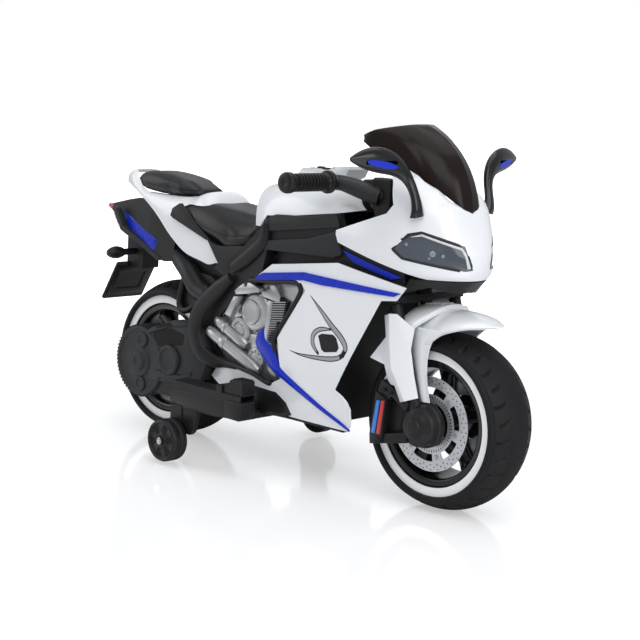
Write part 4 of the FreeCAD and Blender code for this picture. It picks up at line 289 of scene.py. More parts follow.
def makeFinish(name):
    made = {**usualFinish, **finishes[name]}
    paint = bpy.data.materials.new(name)
    paint.use_nodes = True
    tree = paint.node_tree
    shader = tree.nodes["Principled BSDF"]
    skin = put(tree, "ShaderNodeGroup")
    skin.node_tree = mouldGroup
    low, high = made["gloss"]
    setInputs(skin, Tone_A=(*made["a"], 1), Tone_B=(*made["b"], 1), Gloss_Low=low, Gloss_High=high)
    for node, sockets in ((skin, skinSockets), (shader, shaderSockets)):
        for key, label in sockets.items():
            if key in made:
                node.inputs[label].default_value = made[key]
    wire(tree, (skin.outputs["Color"], shader.inputs["Base Color"]),
         (skin.outputs["Roughness"], shader.inputs["Roughness"]))
    height = skin.outputs["Height"]
    if "pebble" in made:
        place = put(tree, "ShaderNodeTexCoord")
        pebble = put(tree, "ShaderNodeTexVoronoi", Scale=made["pebble"])
        wire(tree, (place.outputs["Object"], pebble.inputs["Vector"]))
        height = pebble.outputs["Distance"]
    if "bump" in made:
        bump = put(tree, "ShaderNodeBump", Strength=made["bump"], Distance=made["bumpDepth"])
        wire(tree, (height, bump.inputs["Height"]), (bump.outputs["Normal"], shader.inputs["Normal"]))
    return paint


paints = {name: makeFinish(name) for name in finishes}

slotPaint = {
    "white_plastic": "glossWhite", "black_plastic": "satinBlack", "grey_plastic": "greyMould",
    "blue_plastic": "royalBlue", "silver_plastic": "castSilver", "red_lens": "redLens",
    "smoked": "smokedScreen", "lens": "lampLens", "tyre": "tyreRubber", "rubber": "gripRubber",
    "vinyl": "seatVinyl", "steel": "plainSteel", "mirror": "mirrorGlass", "board": "printedBoard",
    "gear": "nylonGear",
}
for node in nodes.values():
    for place, old in enumerate(list(node.data.materials)):
        if old and old.name.split(".")[0] in slotPaint:
            node.data.materials[place] = paints[slotPaint[old.name.split(".")[0]]]
print("stage: finishes")

mm = 0.001  # pieces are drawn in millimetres and scaled on closing
outRight, leftward, upward = (0, -1, 0), (0, 1, 0), (0, 0, 1)

fineSteps = 16


# lines
def smoothLine(points, count):
    # an even walk along a soft curve through the points
    pts = np.array(points, float)
    ahead = np.vstack([2 * pts[0] - pts[1], pts, 2 * pts[-1] - pts[-2]])
    fine = []
    for p0, p1, p2, p3 in zip(ahead, ahead[1:], ahead[2:], ahead[3:]):
        for t in np.linspace(0, 1, fineSteps, endpoint=False):
            fine.append(0.5 * (2 * p1 + (p2 - p0) * t + (2 * p0 - 5 * p1 + 4 * p2 - p3) * t * t
                               + (3 * p1 - p0 - 3 * p2 + p3) * t ** 3))
    fine = np.array(fine + [pts[-1]])
    run = np.concatenate([[0], np.cumsum(np.linalg.norm(np.diff(fine, axis=0), axis=1))])
    steps = np.linspace(0, run[-1], count)
    return np.stack([np.interp(steps, run, column) for column in fine.T], 1)


def straightLine(points, steps):
    # straight runs between corners, each cut into even steps
    out = []
    for p, q in zip(np.array(points, float), np.array(points[1:], float)):
        out += [tuple(p + (q - p) * t) for t in np.linspace(0, 1, steps, endpoint=False)]
    return out + [tuple(points[-1])]


def closedLine(points, steps):
    return straightLine(points + points[:1], steps)[:-1]


def spread(values, count):
    # a short list of values drawn out evenly to count steps
    return list(np.interp(np.linspace(0, 1, count), np.linspace(0, 1, len(values)), values))


def ramp(value, first, last):
    return min(max((value - first) / (last - first), 0), 1)


def bothHalves(half):
    # a profile and its mirror image, the middle point once
    return half + [(-y, r) for y, r in half[::-1] if y]


# forms
def addRings(shape, rings, capped=True, paint=0):
    rows = [[shape.verts.new(tuple(p)) for p in ring] for ring in rings]
    count = len(rows[0])
    for low, high in zip(rows, rows[1:]):
        for i in range(count):
            j = (i + 1) % count
            shape.faces.new((low[i], low[j], high[j], high[i])).material_index = paint
    if capped:
        shape.faces.new(rows[0][::-1]).material_index = paint
        shape.faces.new(rows[-1]).material_index = paint


def addNet(shape, rows):
    # an open sheet through rows of points
    made = [[shape.verts.new(tuple(p)) for p in row] for row in rows]
    for low, high in zip(made, made[1:]):
        for i in range(len(low) - 1):
            shape.faces.new((low[i], low[i + 1], high[i + 1], high[i]))


def addTurned(shape, profile, origin, axis, sides, closed=False):
    # profile pairs are distance along the axis and radius
    ahead = Vector(axis).normalized()
    first = ahead.orthogonal().normalized()
    second = ahead.cross(first)
    angles = [k * math.tau / sides for k in range(sides)]
    rings = []
    for far, radius in profile:
        centre = Vector(origin) + ahead * far
        rings.append([centre + (first * math.cos(q) + second * math.sin(q)) * radius for q in angles])
    if closed:
        rings.append(rings[0])
    addRings(shape, rings, capped=not closed)


def addTube(shape, path, radii, sides, up=leftward):
    pts = [Vector(p) for p in path]
    if isinstance(radii, (int, float)):
        radii = [radii] * len(pts)
    angles = [k * math.tau / sides for k in range(sides)]
    rings = []
    for i, p in enumerate(pts):
        ahead = (pts[min(i + 1, len(pts) - 1)] - pts[max(i - 1, 0)]).normalized()
        side = ahead.cross(Vector(up)).normalized()
        top = side.cross(ahead)
        rings.append([p + side * (math.cos(q) * radii[i]) + top * (math.sin(q) * radii[i]) for q in angles])
    addRings(shape, rings)


def addPanel(shape, outline, outer, depth, paint=0):
    # outline is x and z; outer is the face's y, a number or a rule; depth goes towards the middle
    place = outer if callable(outer) else (lambda x, z: outer)
    front = [(x, place(x, z), z) for x, z in outline]
    back = [(x, y + depth, z) for x, y, z in front]
    addRings(shape, [front, back], paint=paint)


def addLoft(shape, first, last, across, place):
    # a net between two curves; place turns a point and its share across into the final point
    shares = np.linspace(0, 1, across)
    addNet(shape, [[place(p + (q - p) * t, t) for t in shares] for p, q in zip(first, last)])


domeSection = [(-1, -0.4), (-1, 0.25), (-0.82, 0.72), (-0.45, 0.96), (0, 1), (0.45, 0.96), (0.82, 0.72),
               (1, 0.25), (1, -0.4)]


def addBand(shape, path, halves, base, rise, count):
    # a domed band along an x and z path, standing out sideways from base
    line = smoothLine(path, count)
    widths = spread(halves, count)
    rings = []
    for i, p in enumerate(line):
        ahead = line[min(i + 1, count - 1)] - line[max(i - 1, 0)]
        side = np.array([-ahead[1], ahead[0]]) / np.linalg.norm(ahead)
        y = base(*p)
        places = [(p + side * widths[i] * s, h) for s, h in domeSection]
        rings.append([(q[0], y - rise * h, q[1]) for q, h in places])
    addRings(shape, rings)


ribbonSection = [(-1, -0.8), (-1, 0.4), (-0.7, 1), (0.7, 1), (1, 0.4), (1, -0.8)]
ribbonLeast = 0.15


def addRibbon(shape, places, halves, height, closed=False):
    # places are pairs of point and normal; a low band with chamfered shoulders
    count = len(places)
    if isinstance(halves, (int, float)):
        halves = [halves] * count
    rings = []
    for i, (p, normal) in enumerate(places):
        before = places[(i - 1) % count][0] if closed or i else p
        after = places[(i + 1) % count][0] if closed or i < count - 1 else p
        side = normal.cross((after - before).normalized()).normalized()
        w = max(halves[i], ribbonLeast)
        rings.append([p + side * w * s + normal * height * h for s, h in ribbonSection])
    if closed:
        rings.append(rings[0])
    addRings(shape, rings, capped=not closed)


def mirrorShape(shape):
    made = bmesh.ops.duplicate(shape, geom=shape.verts[:] + shape.edges[:] + shape.faces[:])["geom"]
    for item in made:
        if isinstance(item, bmesh.types.BMVert):
            item.co.y *= -1
    bmesh.ops.reverse_faces(shape, faces=[g for g in made if isinstance(g, bmesh.types.BMFace)])


# pieces
def takeMesh(name, shape):
    # the drawn shape as a mesh in metres
    for vert in shape.verts:
        vert.co *= mm
    mesh = bpy.data.meshes.new(name)
    shape.to_mesh(mesh)
    shape.free()
    return mesh


def freeze(piece):
    # turns modifiers into plain mesh
    graph = bpy.context.evaluated_depsgraph_get()
    mesh = bpy.data.meshes.new_from_object(piece.evaluated_get(graph))
    piece.modifiers.clear()
    old = piece.data
    piece.data = mesh
    mesh.name = piece.name
    bpy.data.meshes.remove(old)


def softEdges(piece, angle):
    piece.data.shade_smooth()
    piece.data.set_sharp_from_angle(angle=math.radians(angle))


def settle(piece, body, standsFor, smooth):
    softEdges(piece, smooth)
    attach(piece, body)
    if standsFor:
        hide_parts(*standsFor)


weldGap = 0.004
bevelAbove = math.radians(32)
usualSmooth = 38


def closeShape(name, shape, paint, body="chassis", standsFor=(), slot="black_plastic", bevel=0.0, cuts=2,
               smooth=usualSmooth, mirror=True, wall=0.0, outward=True):
    if mirror:
        mirrorShape(shape)
    bmesh.ops.remove_doubles(shape, verts=shape.verts, dist=weldGap)
    if outward:
        bmesh.ops.recalc_face_normals(shape, faces=shape.faces)
    piece = addObject(name, takeMesh(name, shape))
    for finish in ([paint] if isinstance(paint, str) else paint):
        piece.data.materials.append(paints[finish])
    if wall:
        thick = piece.modifiers.new("wall", "SOLIDIFY")
        thick.thickness = wall * mm
        thick.offset = -1
        thick.use_even_offset = True
    if bevel:
        edge = piece.modifiers.new("edge", "BEVEL")
        edge.width = bevel * mm
        edge.segments = cuts
        edge.limit_method = "ANGLE"
        edge.angle_limit = bevelAbove
    if piece.modifiers:
        freeze(piece)
    settle(piece, body, standsFor, smooth)


def closeSheet(name, shape, paint, out, **more):
    # an open sheet whose faces look along out, thickened inwards
    bmesh.ops.remove_doubles(shape, verts=shape.verts, dist=weldGap)
    bmesh.ops.recalc_face_normals(shape, faces=shape.faces)
    facingOut = sum(face.normal.dot(Vector(out)) * face.calc_area() for face in shape.faces)
    if facingOut < 0:
        bmesh.ops.reverse_faces(shape, faces=shape.faces)
    closeShape(name, shape, paint, outward=False, **more)


def drawPiece(name, paint, panels=(), knobs=(), tubes=(), blocks=(), **more):
    # panels are outline, outer and depth; knobs are profile, place, axis and sides
    # tubes are path, radii, sides and perhaps up; blocks are lists of rings
    shape = bmesh.new()
    for number, panel in enumerate(panels):
        addPanel(shape, *panel, paint=0 if isinstance(paint, str) else number)
    for knob in knobs:
        addTurned(shape, *knob)
    for tube in tubes:
        addTube(shape, *tube)
    for rings in blocks:
        addRings(shape, rings)
    closeShape(name, shape, paint, **more)


# repeats: one tree sets a unit round a ring, one along a line
def startTree(name, inputs):
    tree = bpy.data.node_groups.new(name, "GeometryNodeTree")
    tree.interface.new_socket(name="Geometry", in_out="INPUT", socket_type="NodeSocketGeometry")
    for label, kind, value in inputs:
        tree.interface.new_socket(name=label, in_out="INPUT", socket_type=kind).default_value = value
    tree.interface.new_socket(name="Finish", in_out="INPUT", socket_type="NodeSocketMaterial")
    tree.interface.new_socket(name="Geometry", in_out="OUTPUT", socket_type="NodeSocketGeometry")
    return tree, put(tree, "NodeGroupInput"), put(tree, "NodeGroupOutput")


def endTree(tree, given, result, instances):
    real = put(tree, "GeometryNodeRealizeInstances")
    paint = put(tree, "GeometryNodeSetMaterial")
    wire(tree, (instances, real.inputs["Geometry"]), (real.outputs["Geometry"], paint.inputs["Geometry"]),
         (given.outputs["Finish"], paint.inputs["Material"]),
         (paint.outputs["Geometry"], result.inputs["Geometry"]))
    return tree


def makeRingTree():
    # units stand round the Z axis, each turned to face outwards
    tree, given, result = startTree("ringOfUnits", (
        ("Count", "NodeSocketInt", 12), ("Radius", "NodeSocketFloat", 0.05),
        ("Start", "NodeSocketFloat", 0.0)))
    ring = put(tree, "GeometryNodeMeshCircle")
    index = put(tree, "GeometryNodeInputIndex")
    share = put(tree, "ShaderNodeMath", "DIVIDE")
    turn = put(tree, "ShaderNodeMath", "MULTIPLY")
    turn.inputs[1].default_value = math.tau
    spin, start = put(tree, "ShaderNodeCombineXYZ"), put(tree, "ShaderNodeCombineXYZ")
    units = put(tree, "GeometryNodeInstanceOnPoints")
    turned = put(tree, "GeometryNodeTransform")
    wire(tree, (given.outputs["Count"], ring.inputs["Vertices"]),
         (given.outputs["Radius"], ring.inputs["Radius"]), (index.outputs[0], share.inputs[0]),
         (given.outputs["Count"], share.inputs[1]), (share.outputs[0], turn.inputs[0]),
         (turn.outputs[0], spin.inputs["Z"]), (ring.outputs["Mesh"], units.inputs["Points"]),
         (given.outputs["Geometry"], units.inputs["Instance"]), (spin.outputs[0], units.inputs["Rotation"]),
         (units.outputs["Instances"], turned.inputs["Geometry"]),
         (given.outputs["Start"], start.inputs["Z"]), (start.outputs[0], turned.inputs["Rotation"]))
    return endTree(tree, given, result, turned.outputs["Geometry"])


def makeLineTree():
    tree, given, result = startTree("lineOfUnits", (
        ("Count", "NodeSocketInt", 8), ("Step", "NodeSocketVector", (0.0, 0.0, 0.01))))
    line = put(tree, "GeometryNodeMeshLine")
    units = put(tree, "GeometryNodeInstanceOnPoints")
    wire(tree, (given.outputs["Count"], line.inputs["Count"]),
         (given.outputs["Step"], line.inputs["Offset"]), (line.outputs["Mesh"], units.inputs["Points"]),
         (given.outputs["Geometry"], units.inputs["Instance"]))
    return endTree(tree, given, result, units.outputs["Instances"])


ringTree, lineTree = makeRingTree(), makeLineTree()


def repeatUnit(rings, tree, finish, **values):
    # the unit is drawn in millimetres about the origin; the answer is a plain mesh in metres
    shape = bmesh.new()
    addRings(shape, rings)
    bmesh.ops.recalc_face_normals(shape, faces=shape.faces)
    holder = addObject("unit", takeMesh("unit", shape))
    modifier = holder.modifiers.new("repeat", "NODES")
    modifier.node_group = tree
    values["Finish"] = paints[finish]
    for item in tree.interface.items_tree:
        if item.in_out == "INPUT" and item.name in values:
            modifier[item.identifier] = values[item.name]
    graph = bpy.context.evaluated_depsgraph_get()
    made = bpy.data.meshes.new_from_object(holder.evaluated_get(graph))
    bpy.data.objects.remove(holder)
    return made


def turnedUnit(profile, sides):
    # rings of a unit turned about the Z axis
    angles = [(k / sides + 1 / 8) * math.tau for k in range(sides)]
    return [[(radius * math.cos(q), radius * math.sin(q), far) for q in angles] for far, radius in profile]


def placeMeshes(name, placed, body="chassis"):
    # joins meshes, each with its own place matrix, into one piece at the origin
    joined = bmesh.new()
    finishNames = []
    for mesh, matrix in placed:
        part = mesh.copy()
        part.transform(matrix)
        if matrix.determinant() < 0:
            part.flip_normals()
        shift = len(finishNames)
        finishNames.extend(part.materials)
        first = len(joined.faces)
        joined.from_mesh(part)
        joined.faces.ensure_lookup_table()
        for face in joined.faces[first:]:
            face.material_index += shift
        bpy.data.meshes.remove(part)
    merged = bpy.data.meshes.new(name)
    joined.to_mesh(merged)
    joined.free()
    for finish in finishNames:
        merged.materials.append(finish)
    settle(addObject(name, merged), body, (), usualSmooth)


def facing(x, y, z, side):
    # a place matrix whose Z looks out sideways: side -1 is the right of the machine
    return Matrix(((-side, 0, 0, x * mm), (0, 0, side, y * mm), (0, 1, 0, z * mm), (0, 0, 0, 1)))


def onBothSides(mesh, x, out, z):
    return [(mesh, facing(x, side * out, z, side)) for side in (-1, 1)]


# tyres: a turned carcass with knurled crown, dotted grooves and curved shoulder cuts
wheels = {"front": 408, "rear": -312, "axle": 160.5}
tyre = {
    "half": [(0, 160.5), (6, 160.35), (13, 159.5), (21, 157.8), (30, 154.9), (38, 151.6), (45, 148.0),
             (50.5, 144.9), (55, 142.2), (57.6, 139.2), (58.6, 135.6), (57.6, 132.0), (55.5, 130.6),
             (49.2, 130.4)],
    "inside": [(47.5, 113.2), (0, 112.6), (-47.5, 113.2)], "outsideFrom": 141, "turns": 660, "across": 138,
    "knurlHalf": 19, "knurlPitch": 7.6, "knurlDepth": 1.9, "knurlRadius": 160,
    "dotLine": 21.5, "dotWidth": 1.3, "dotDepth": 0.8, "dotMore": 1.6, "dots": 165,
    "cuts": 30, "cutStart": 25.0, "cutEnd": 50.0, "cutDepth": 4.6, "cutWidth": 0.08, "cutBend": 0.26,
    "cutCurl": 2.4, "cutShort": 0.22, "cutEaseIn": 0.1, "cutEaseOut": 0.12, "lineAt": 52.5,
    "lineWidth": 1.2, "lineDepth": 1.7, "tabs": 8, "tabAt": 56.8, "tabWidth": 1.4, "tabHalf": 0.018,
    "tabRise": 0.5,
}


def hill(value, at, width):
    return np.exp(-((value - at) / width) ** 2)


def makeTyre(name, x, body, node):
    half = smoothLine(tyre["half"], tyre["across"] // 2)
    profile = np.vstack([half[::-1] * (-1, 1), half[1:], tyre["inside"]])
    turns = np.arange(tyre["turns"]) * math.tau / tyre["turns"]
    angle, y = np.meshgrid(turns, profile[:, 0])
    radius = np.meshgrid(turns, profile[:, 1])[1]
    off = np.abs(y)
    v = y / tyre["knurlPitch"]
    u = angle * round(math.tau * tyre["knurlRadius"] / tyre["knurlPitch"]) / math.tau
    weave = (0.5 + 0.5 * np.cos(math.tau * (u + v))) * (0.5 + 0.5 * np.cos(math.tau * (u - v)))
    sunk = tyre["knurlDepth"] * weave * (off < tyre["knurlHalf"])
    dots = 0.5 + 0.5 * np.cos(angle * tyre["dots"])
    sunk += (tyre["dotDepth"] + tyre["dotMore"] * dots) * hill(off, tyre["dotLine"], tyre["dotWidth"])
    t = np.clip((off - tyre["cutStart"]) / (tyre["cutEnd"] - tyre["cutStart"]), 0, 1)
    phase = (angle * tyre["cuts"] / math.tau + tyre["cutBend"] * np.sin(t * tyre["cutCurl"])
             + np.where(y > 0, 0.5, 0.0))
    whole = np.round(phase)
    last = 1 - tyre["cutShort"] * (whole.astype(int) % 2)
    reach = np.clip(t / tyre["cutEaseIn"], 0, 1) * np.clip((last - t) / tyre["cutEaseOut"], 0, 1)
    sunk += tyre["cutDepth"] * hill(phase - whole, 0, tyre["cutWidth"]) * reach
    sunk += tyre["lineDepth"] * hill(off, tyre["lineAt"], tyre["lineWidth"])
    tab = np.abs(((angle * tyre["tabs"] / math.tau) % 1) - 0.5) < tyre["tabHalf"]
    sunk -= tyre["tabRise"] * tab * hill(off, tyre["tabAt"], tyre["tabWidth"])
    radius = radius - sunk * (radius > tyre["outsideFrom"])
    rings = np.stack([x + radius * np.cos(angle), y, wheels["axle"] + radius * np.sin(angle)], -1)
    shape = bmesh.new()
    addRings(shape, [*rings, rings[0]], capped=False)
    closeShape(name, shape, "tyreRubber", body, [node], "tyre", smooth=62, mirror=False)


makeTyre("frontTyre", wheels["front"], "front_wheel", "front_tyre")
makeTyre("rearTyre", wheels["rear"], "rear_wheel", "rear_tyre")
print("stage: tyres")

# wheels: a deep barrel, five waisted spokes and a hub
rim = {"barrel": [(46, 111.6), (46, 103.5), (44.6, 100.6), (41.5, 99.2), (24, 97.4), (0, 96.6)],
       "barrelSides": 96, "hub": [(49, 11), (49, 22), (46, 27), (38, 28), (20, 31), (0, 33)],
       "hubSides": 64, "stations": [(22, 21, 30), (34, 17.5, 20), (55, 13.5, 14.5), (78, 13.5, 14),
                                    (92, 17, 17), (99, 22, 22)],
       "spokes": 5, "spokeSides": 20, "square": 0.55, "frontStart": 0.36, "rearStart": 0.9}


def makeRim(name, x, body, node, start):
    shape = bmesh.new()
    centre = Vector((x, 0, wheels["axle"]))
    across = Vector(leftward)
    for part in ("barrel", "hub"):
        addTurned(shape, bothHalves(rim[part]), centre, leftward, rim[part + "Sides"], closed=True)

    def squared(value):
        return math.copysign(abs(value) ** rim["square"], value)

    around = [n * math.tau / rim["spokeSides"] for n in range(rim["spokeSides"])]
    section = [(squared(math.cos(q)), squared(math.sin(q))) for q in around]
    for k in range(rim["spokes"]):
        angle = start + k * math.tau / rim["spokes"]
        out = Vector((math.cos(angle), 0, math.sin(angle)))
        side = Vector((-math.sin(angle), 0, math.cos(angle)))
        addRings(shape, [[centre + out * far + side * (c * wide) + across * (s * deep) for c, s in section]
                         for far, wide, deep in rim["stations"]])
    closeShape(name, shape, "glossBlack", body, [node], smooth=40, mirror=False)


makeRim("frontRim", wheels["front"], "front_wheel", "front_rim", rim["frontStart"])
makeRim("rearRim", wheels["rear"], "rear_wheel", "rear_rim", rim["rearStart"])

# front discs: perforated plates with windows, a slotted inner ring and rivets
disc = {"face": 50.15, "thick": 2.7, "rings": [40, 45.5, 51, 53.5, 66.5, 69, 85], "turns": 180,
        "windows": 6, "windowRow": 3, "windowShare": 0.66,
        "holeRows": [(72.5, 30, 0.0), (77, 30, 0.105), (81.5, 30, 0.0)],
        "hole": [(0, 1.3225), (0.12, 1.15)], "slots": 54, "slotAt": 48.4,
        "slot": [[(-2.4, -0.75, z), (2.4, -0.75, z), (2.4, 0.75, z), (-2.4, 0.75, z)] for z in (0, 0.14)],
        "rivets": 6, "rivetAt": 60, "rivetStart": math.radians(50),
        "rivet": [(0, 4.2), (0.8, 4.2), (1.3, 3.3), (0.7, 2.6), (1.2, 1.6), (1.3, 0.4)]}


def makeDiscs():
    shape = bmesh.new()
    turns = disc["turns"]
    y = disc["face"] + disc["thick"]
    around = [(math.cos(k * math.tau / turns), math.sin(k * math.tau / turns)) for k in range(turns)]
    rows = [[shape.verts.new((wheels["front"] + r * c, -y, wheels["axle"] + r * s)) for c, s in around]
            for r in disc["rings"]]
    per = turns // disc["windows"]
    for n, (low, high) in enumerate(zip(rows, rows[1:])):
        for k in range(turns):
            inWindow = n == disc["windowRow"] and (k % per) < per * disc["windowShare"]
            if not inWindow:
                shape.faces.new((low[k], low[(k + 1) % turns], high[(k + 1) % turns], high[k]))
    closeShape("frontDiscs", shape, "discSteel", "front_wheel", ["front_discs"], "steel",
               wall=disc["thick"], bevel=0.35, cuts=1, smooth=30)
    hole = turnedUnit(disc["hole"], 10)
    made = [repeatUnit(hole, ringTree, "glossBlack", Count=count, Radius=radius * mm, Start=start)
            for radius, count, start in disc["holeRows"]]
    made.append(repeatUnit(disc["slot"], ringTree, "glossBlack", Count=disc["slots"],
                           Radius=disc["slotAt"] * mm))
    made.append(repeatUnit(turnedUnit(disc["rivet"], 20), ringTree, "plainSteel", Count=disc["rivets"],
                           Radius=disc["rivetAt"] * mm, Start=disc["rivetStart"]))
    placed = [spot for mesh in made for spot in onBothSides(mesh, wheels["front"], y, wheels["axle"])]
    placeMeshes("discHolesAndRivets", placed, "front_wheel")


makeDiscs()
print("stage: wheels")

# fork: legs with turned hub caps, bracket arms and caliper boxes
fork = {"lean": Vector((-0.320613, 0, 0.947210)), "legHalf": 82, "legRadius": 11, "legTop": 217.5,
        "cap": [(58.3, 12), (58.3, 39), (60, 41), (70, 41), (73, 38), (86, 37), (90, 35), (93, 30),
                (96.5, 25), (98, 23.5), (98.4, 15), (102, 14), (103.4, 11.5), (103.4, 5)]}


def makeForkLegs():
    shape = bmesh.new()
    for side in (-1, 1):
        addTurned(shape, fork["cap"], (wheels["front"], 0, wheels["axle"]), (0, side, 0), 72)
        foot = Vector((wheels["front"], side * fork["legHalf"], wheels["axle"]))
        leg = fork["lean"] * fork["legTop"]
        addTube(shape, [foot, foot + leg * 0.5, foot + leg], fork["legRadius"], 32)
    closeShape("forkLegs", shape, "satinBlack", "steering", ["fork_legs"], bevel=0.8, smooth=35,
               mirror=False)


makeForkLegs()

calipers = {"paint": "satinBlack", "body": "steering", "bevel": 1.6, "panels": [
    ([(311, 112), (337, 118), (343, 196), (338, 202), (319, 208), (309, 130)], -100, 24),
    ([(318, 205), (327, 231), (348, 224), (394, 200), (386, 184), (353, 205), (339, 194)], -96, 15),
    ([(312, 112), (392, 128), (392, 148), (362, 140), (336, 134)], -96, 15),
    ([(334, 132), (372, 138), (372, 186), (342, 196)], -82, 8)],
    "knobs": [([(0, r), (2.2, r), (3, r - 1), (3, r - 2.4), (1.6, r - 2.6)], (x, -99.5, z), outRight, 24)
              for x, z, r in ((334, 214, 5), (330, 121, 5), (352, 212, 4))]}
drawPiece("calipers", **calipers)
stripes = {"paint": ["skyBlue", "signalRed"], "slot": "blue_plastic", "body": "steering", "bevel": 0.3,
           "panels": [([(313.5, 133), (322, 133), (329.5, 194), (322, 193)], -100.6, 2),
                      ([(325.5, 133), (334, 133), (340.5, 195), (333, 194.5)], -100.6, 2)]}
drawPiece("caliperStripes", **stripes)
print("stage: fork")

# fork covers: folded plates with a ridge and a wing that sweeps back
forkCover = {
    "points": {"a": (324, -95, 346), "b": (341, -102, 352), "c": (356, -99, 353), "e": (386, -84, 330),
               "f": (331, -96, 309), "g": (347, -104, 302), "h": (384, -89, 294), "w": (296, -96, 266),
               "k": (332, -97, 259), "m": (354, -104, 258), "i": (396, -91, 252), "n": (339, -95, 235),
               "o": (349, -96, 226), "p": (359, -97, 225), "q": (373, -96, 198), "r": (390, -104, 204),
               "s": (410, -92, 212)},
    "faces": ["abgf", "bchg", "ceh", "fgmk", "fkw", "ghim", "kmp", "kpo", "kon", "misr", "mrqp"],
}


def makeForkCovers():
    shape = bmesh.new()
    corners = {key: shape.verts.new(p) for key, p in forkCover["points"].items()}
    for face in forkCover["faces"]:
        shape.faces.new([corners[key] for key in face])
    closeSheet("forkCoverPlates", shape, "glossWhite", outRight, body="steering", wall=3.2,
               standsFor=["fork_covers"], slot="white_plastic", bevel=1.1, cuts=3, smooth=24)


makeForkCovers()

fenderFlap = {"rear": [(366, 332), (364, 292), (378, 246), (391, 205)],
              "front": [(440, 332), (414, 312), (404, 284), (404, 250), (409, 220), (416, 197)],
              "rows": 22, "across": 9, "edge": 65.5, "belly": 5.0, "early": 1.15}


def makeFenderFlaps():
    def place(p, t):
        belly = fenderFlap["belly"] * math.sin(math.pi * min(t * fenderFlap["early"], 1))
        return (p[0], -fenderFlap["edge"] - belly, p[1])

    shape = bmesh.new()
    rear, front = (smoothLine(fenderFlap[key], fenderFlap["rows"]) for key in ("rear", "front"))
    addLoft(shape, rear, front, fenderFlap["across"], place)
    closeSheet("fenderFlaps", shape, "glossWhite", outRight, body="steering", wall=2.6,
               slot="white_plastic", bevel=0.7, smooth=50)


makeFenderFlaps()

# a white brace arches over the mudguard between the fork covers, with ribs across its crown
brace = {"path": [(352, -88, 284), (356, -87, 312), (362, -80, 333), (367, -66, 345), (370, -42, 356.5),
                  (371, -20, 363), (371, 0, 365)], "halves": [9, 14, 18, 23, 28, 31, 32], "steps": 26,
         "rake": 0.12, "section": [(-1, -8), (-1, 1.2), (-0.86, 2.6), (0.86, 2.6), (1, 1.2), (1, -8)],
         "ribs": range(352, 389, 9), "ribSection": [(-1.6, 0), (1.6, 0), (1.0, 3), (-1.0, 3)],
         "ribHalf": 16, "crown": (371, 365.5)}


def makeBrace():
    half = smoothLine(brace["path"], brace["steps"])
    line = np.vstack([half, (half[:-1] * (1, -1, 1))[::-1]])
    widths = spread(brace["halves"], brace["steps"])
    widths += widths[-2::-1]
    slope = Vector((1, 0, brace["rake"]))
    arch = []
    for i, p in enumerate(line):
        ahead = line[min(i + 1, len(line) - 1)] - line[max(i - 1, 0)]
        out = Vector((0, -ahead[2], ahead[1])).normalized()
        arch.append([Vector(p) + slope * w * widths[i] + out * h for w, h in brace["section"]])
    crownX, crownZ = brace["crown"]
    ribs = [[[(x + dx, y, crownZ + brace["rake"] * (x - crownX) + dz) for dx, dz in brace["ribSection"]]
             for y in (-brace["ribHalf"], brace["ribHalf"])] for x in brace["ribs"]]
    drawPiece("forkBrace", "glossWhite", blocks=[arch, *ribs], body="steering", slot="white_plastic",
              bevel=0.7, smooth=45, mirror=False)


makeBrace()
print("stage: fork covers and flaps")

# bars: ribbed grips with collars and end caps, thick covers and clamp blocks
grip = {"place": (192, 0, 570),
        "root": [(113, 10.2), (113, 18.6), (114.5, 20.6), (121, 20.9), (123, 19.4), (123.6, 16),
                 (128, 14.6)],
        "ribsAt": range(135, 200, 8), "rib": [(-2.6, 13.2), (-1.8, 16.4), (1.8, 16.4), (2.6, 13.2)],
        "end": [(206, 14.2), (211, 14.2), (212.5, 17.4), (214, 18.6), (223, 18.8), (226.4, 17.6),
                (227.8, 14), (227.6, 5), (226.2, 4)],
        "collar": [(104, 11), (104, 14.6), (105.4, 15.4), (111, 15.4), (112.6, 14.6), (112.6, 11)]}
gripRibs = [(y + far, radius) for y in grip["ribsAt"] for far, radius in grip["rib"]]
gripProfile = grip["root"] + gripRibs + grip["end"]
drawPiece("gripSleeves", "gripRubber", knobs=[(gripProfile, grip["place"], outRight, 56)], body="steering",
          standsFor=["grips"], slot="rubber", bevel=0.4)
drawPiece("gripCollars", "slateGrey", knobs=[(grip["collar"], grip["place"], outRight, 48)],
          body="steering", slot="grey_plastic", bevel=0.4)

barCovers = {
    "paint": "greyMould", "body": "steering", "bevel": 1.8, "cuts": 3,
    "tubes": [(smoothLine([(192, -104, 570), (200, -100, 569), (222, -92, 564), (250, -82, 556),
                           (276, -70, 549)], 24), spread([10.5, 12.5, 14, 15, 16], 24), 28, upward)],
    "panels": [([(231, 573), (238, 578), (287, 583), (297, 578), (299, 540), (290, 534), (256, 530),
                 (247, 555)], -72, 34)],
    "knobs": [([(0, 5.4), (2.2, 5.4), (3, 4.4), (3, 3), (1.4, 2.8)], (272, -72, 563), outRight, 24)]}
drawPiece("barCovers", **barCovers)
print("stage: bars")
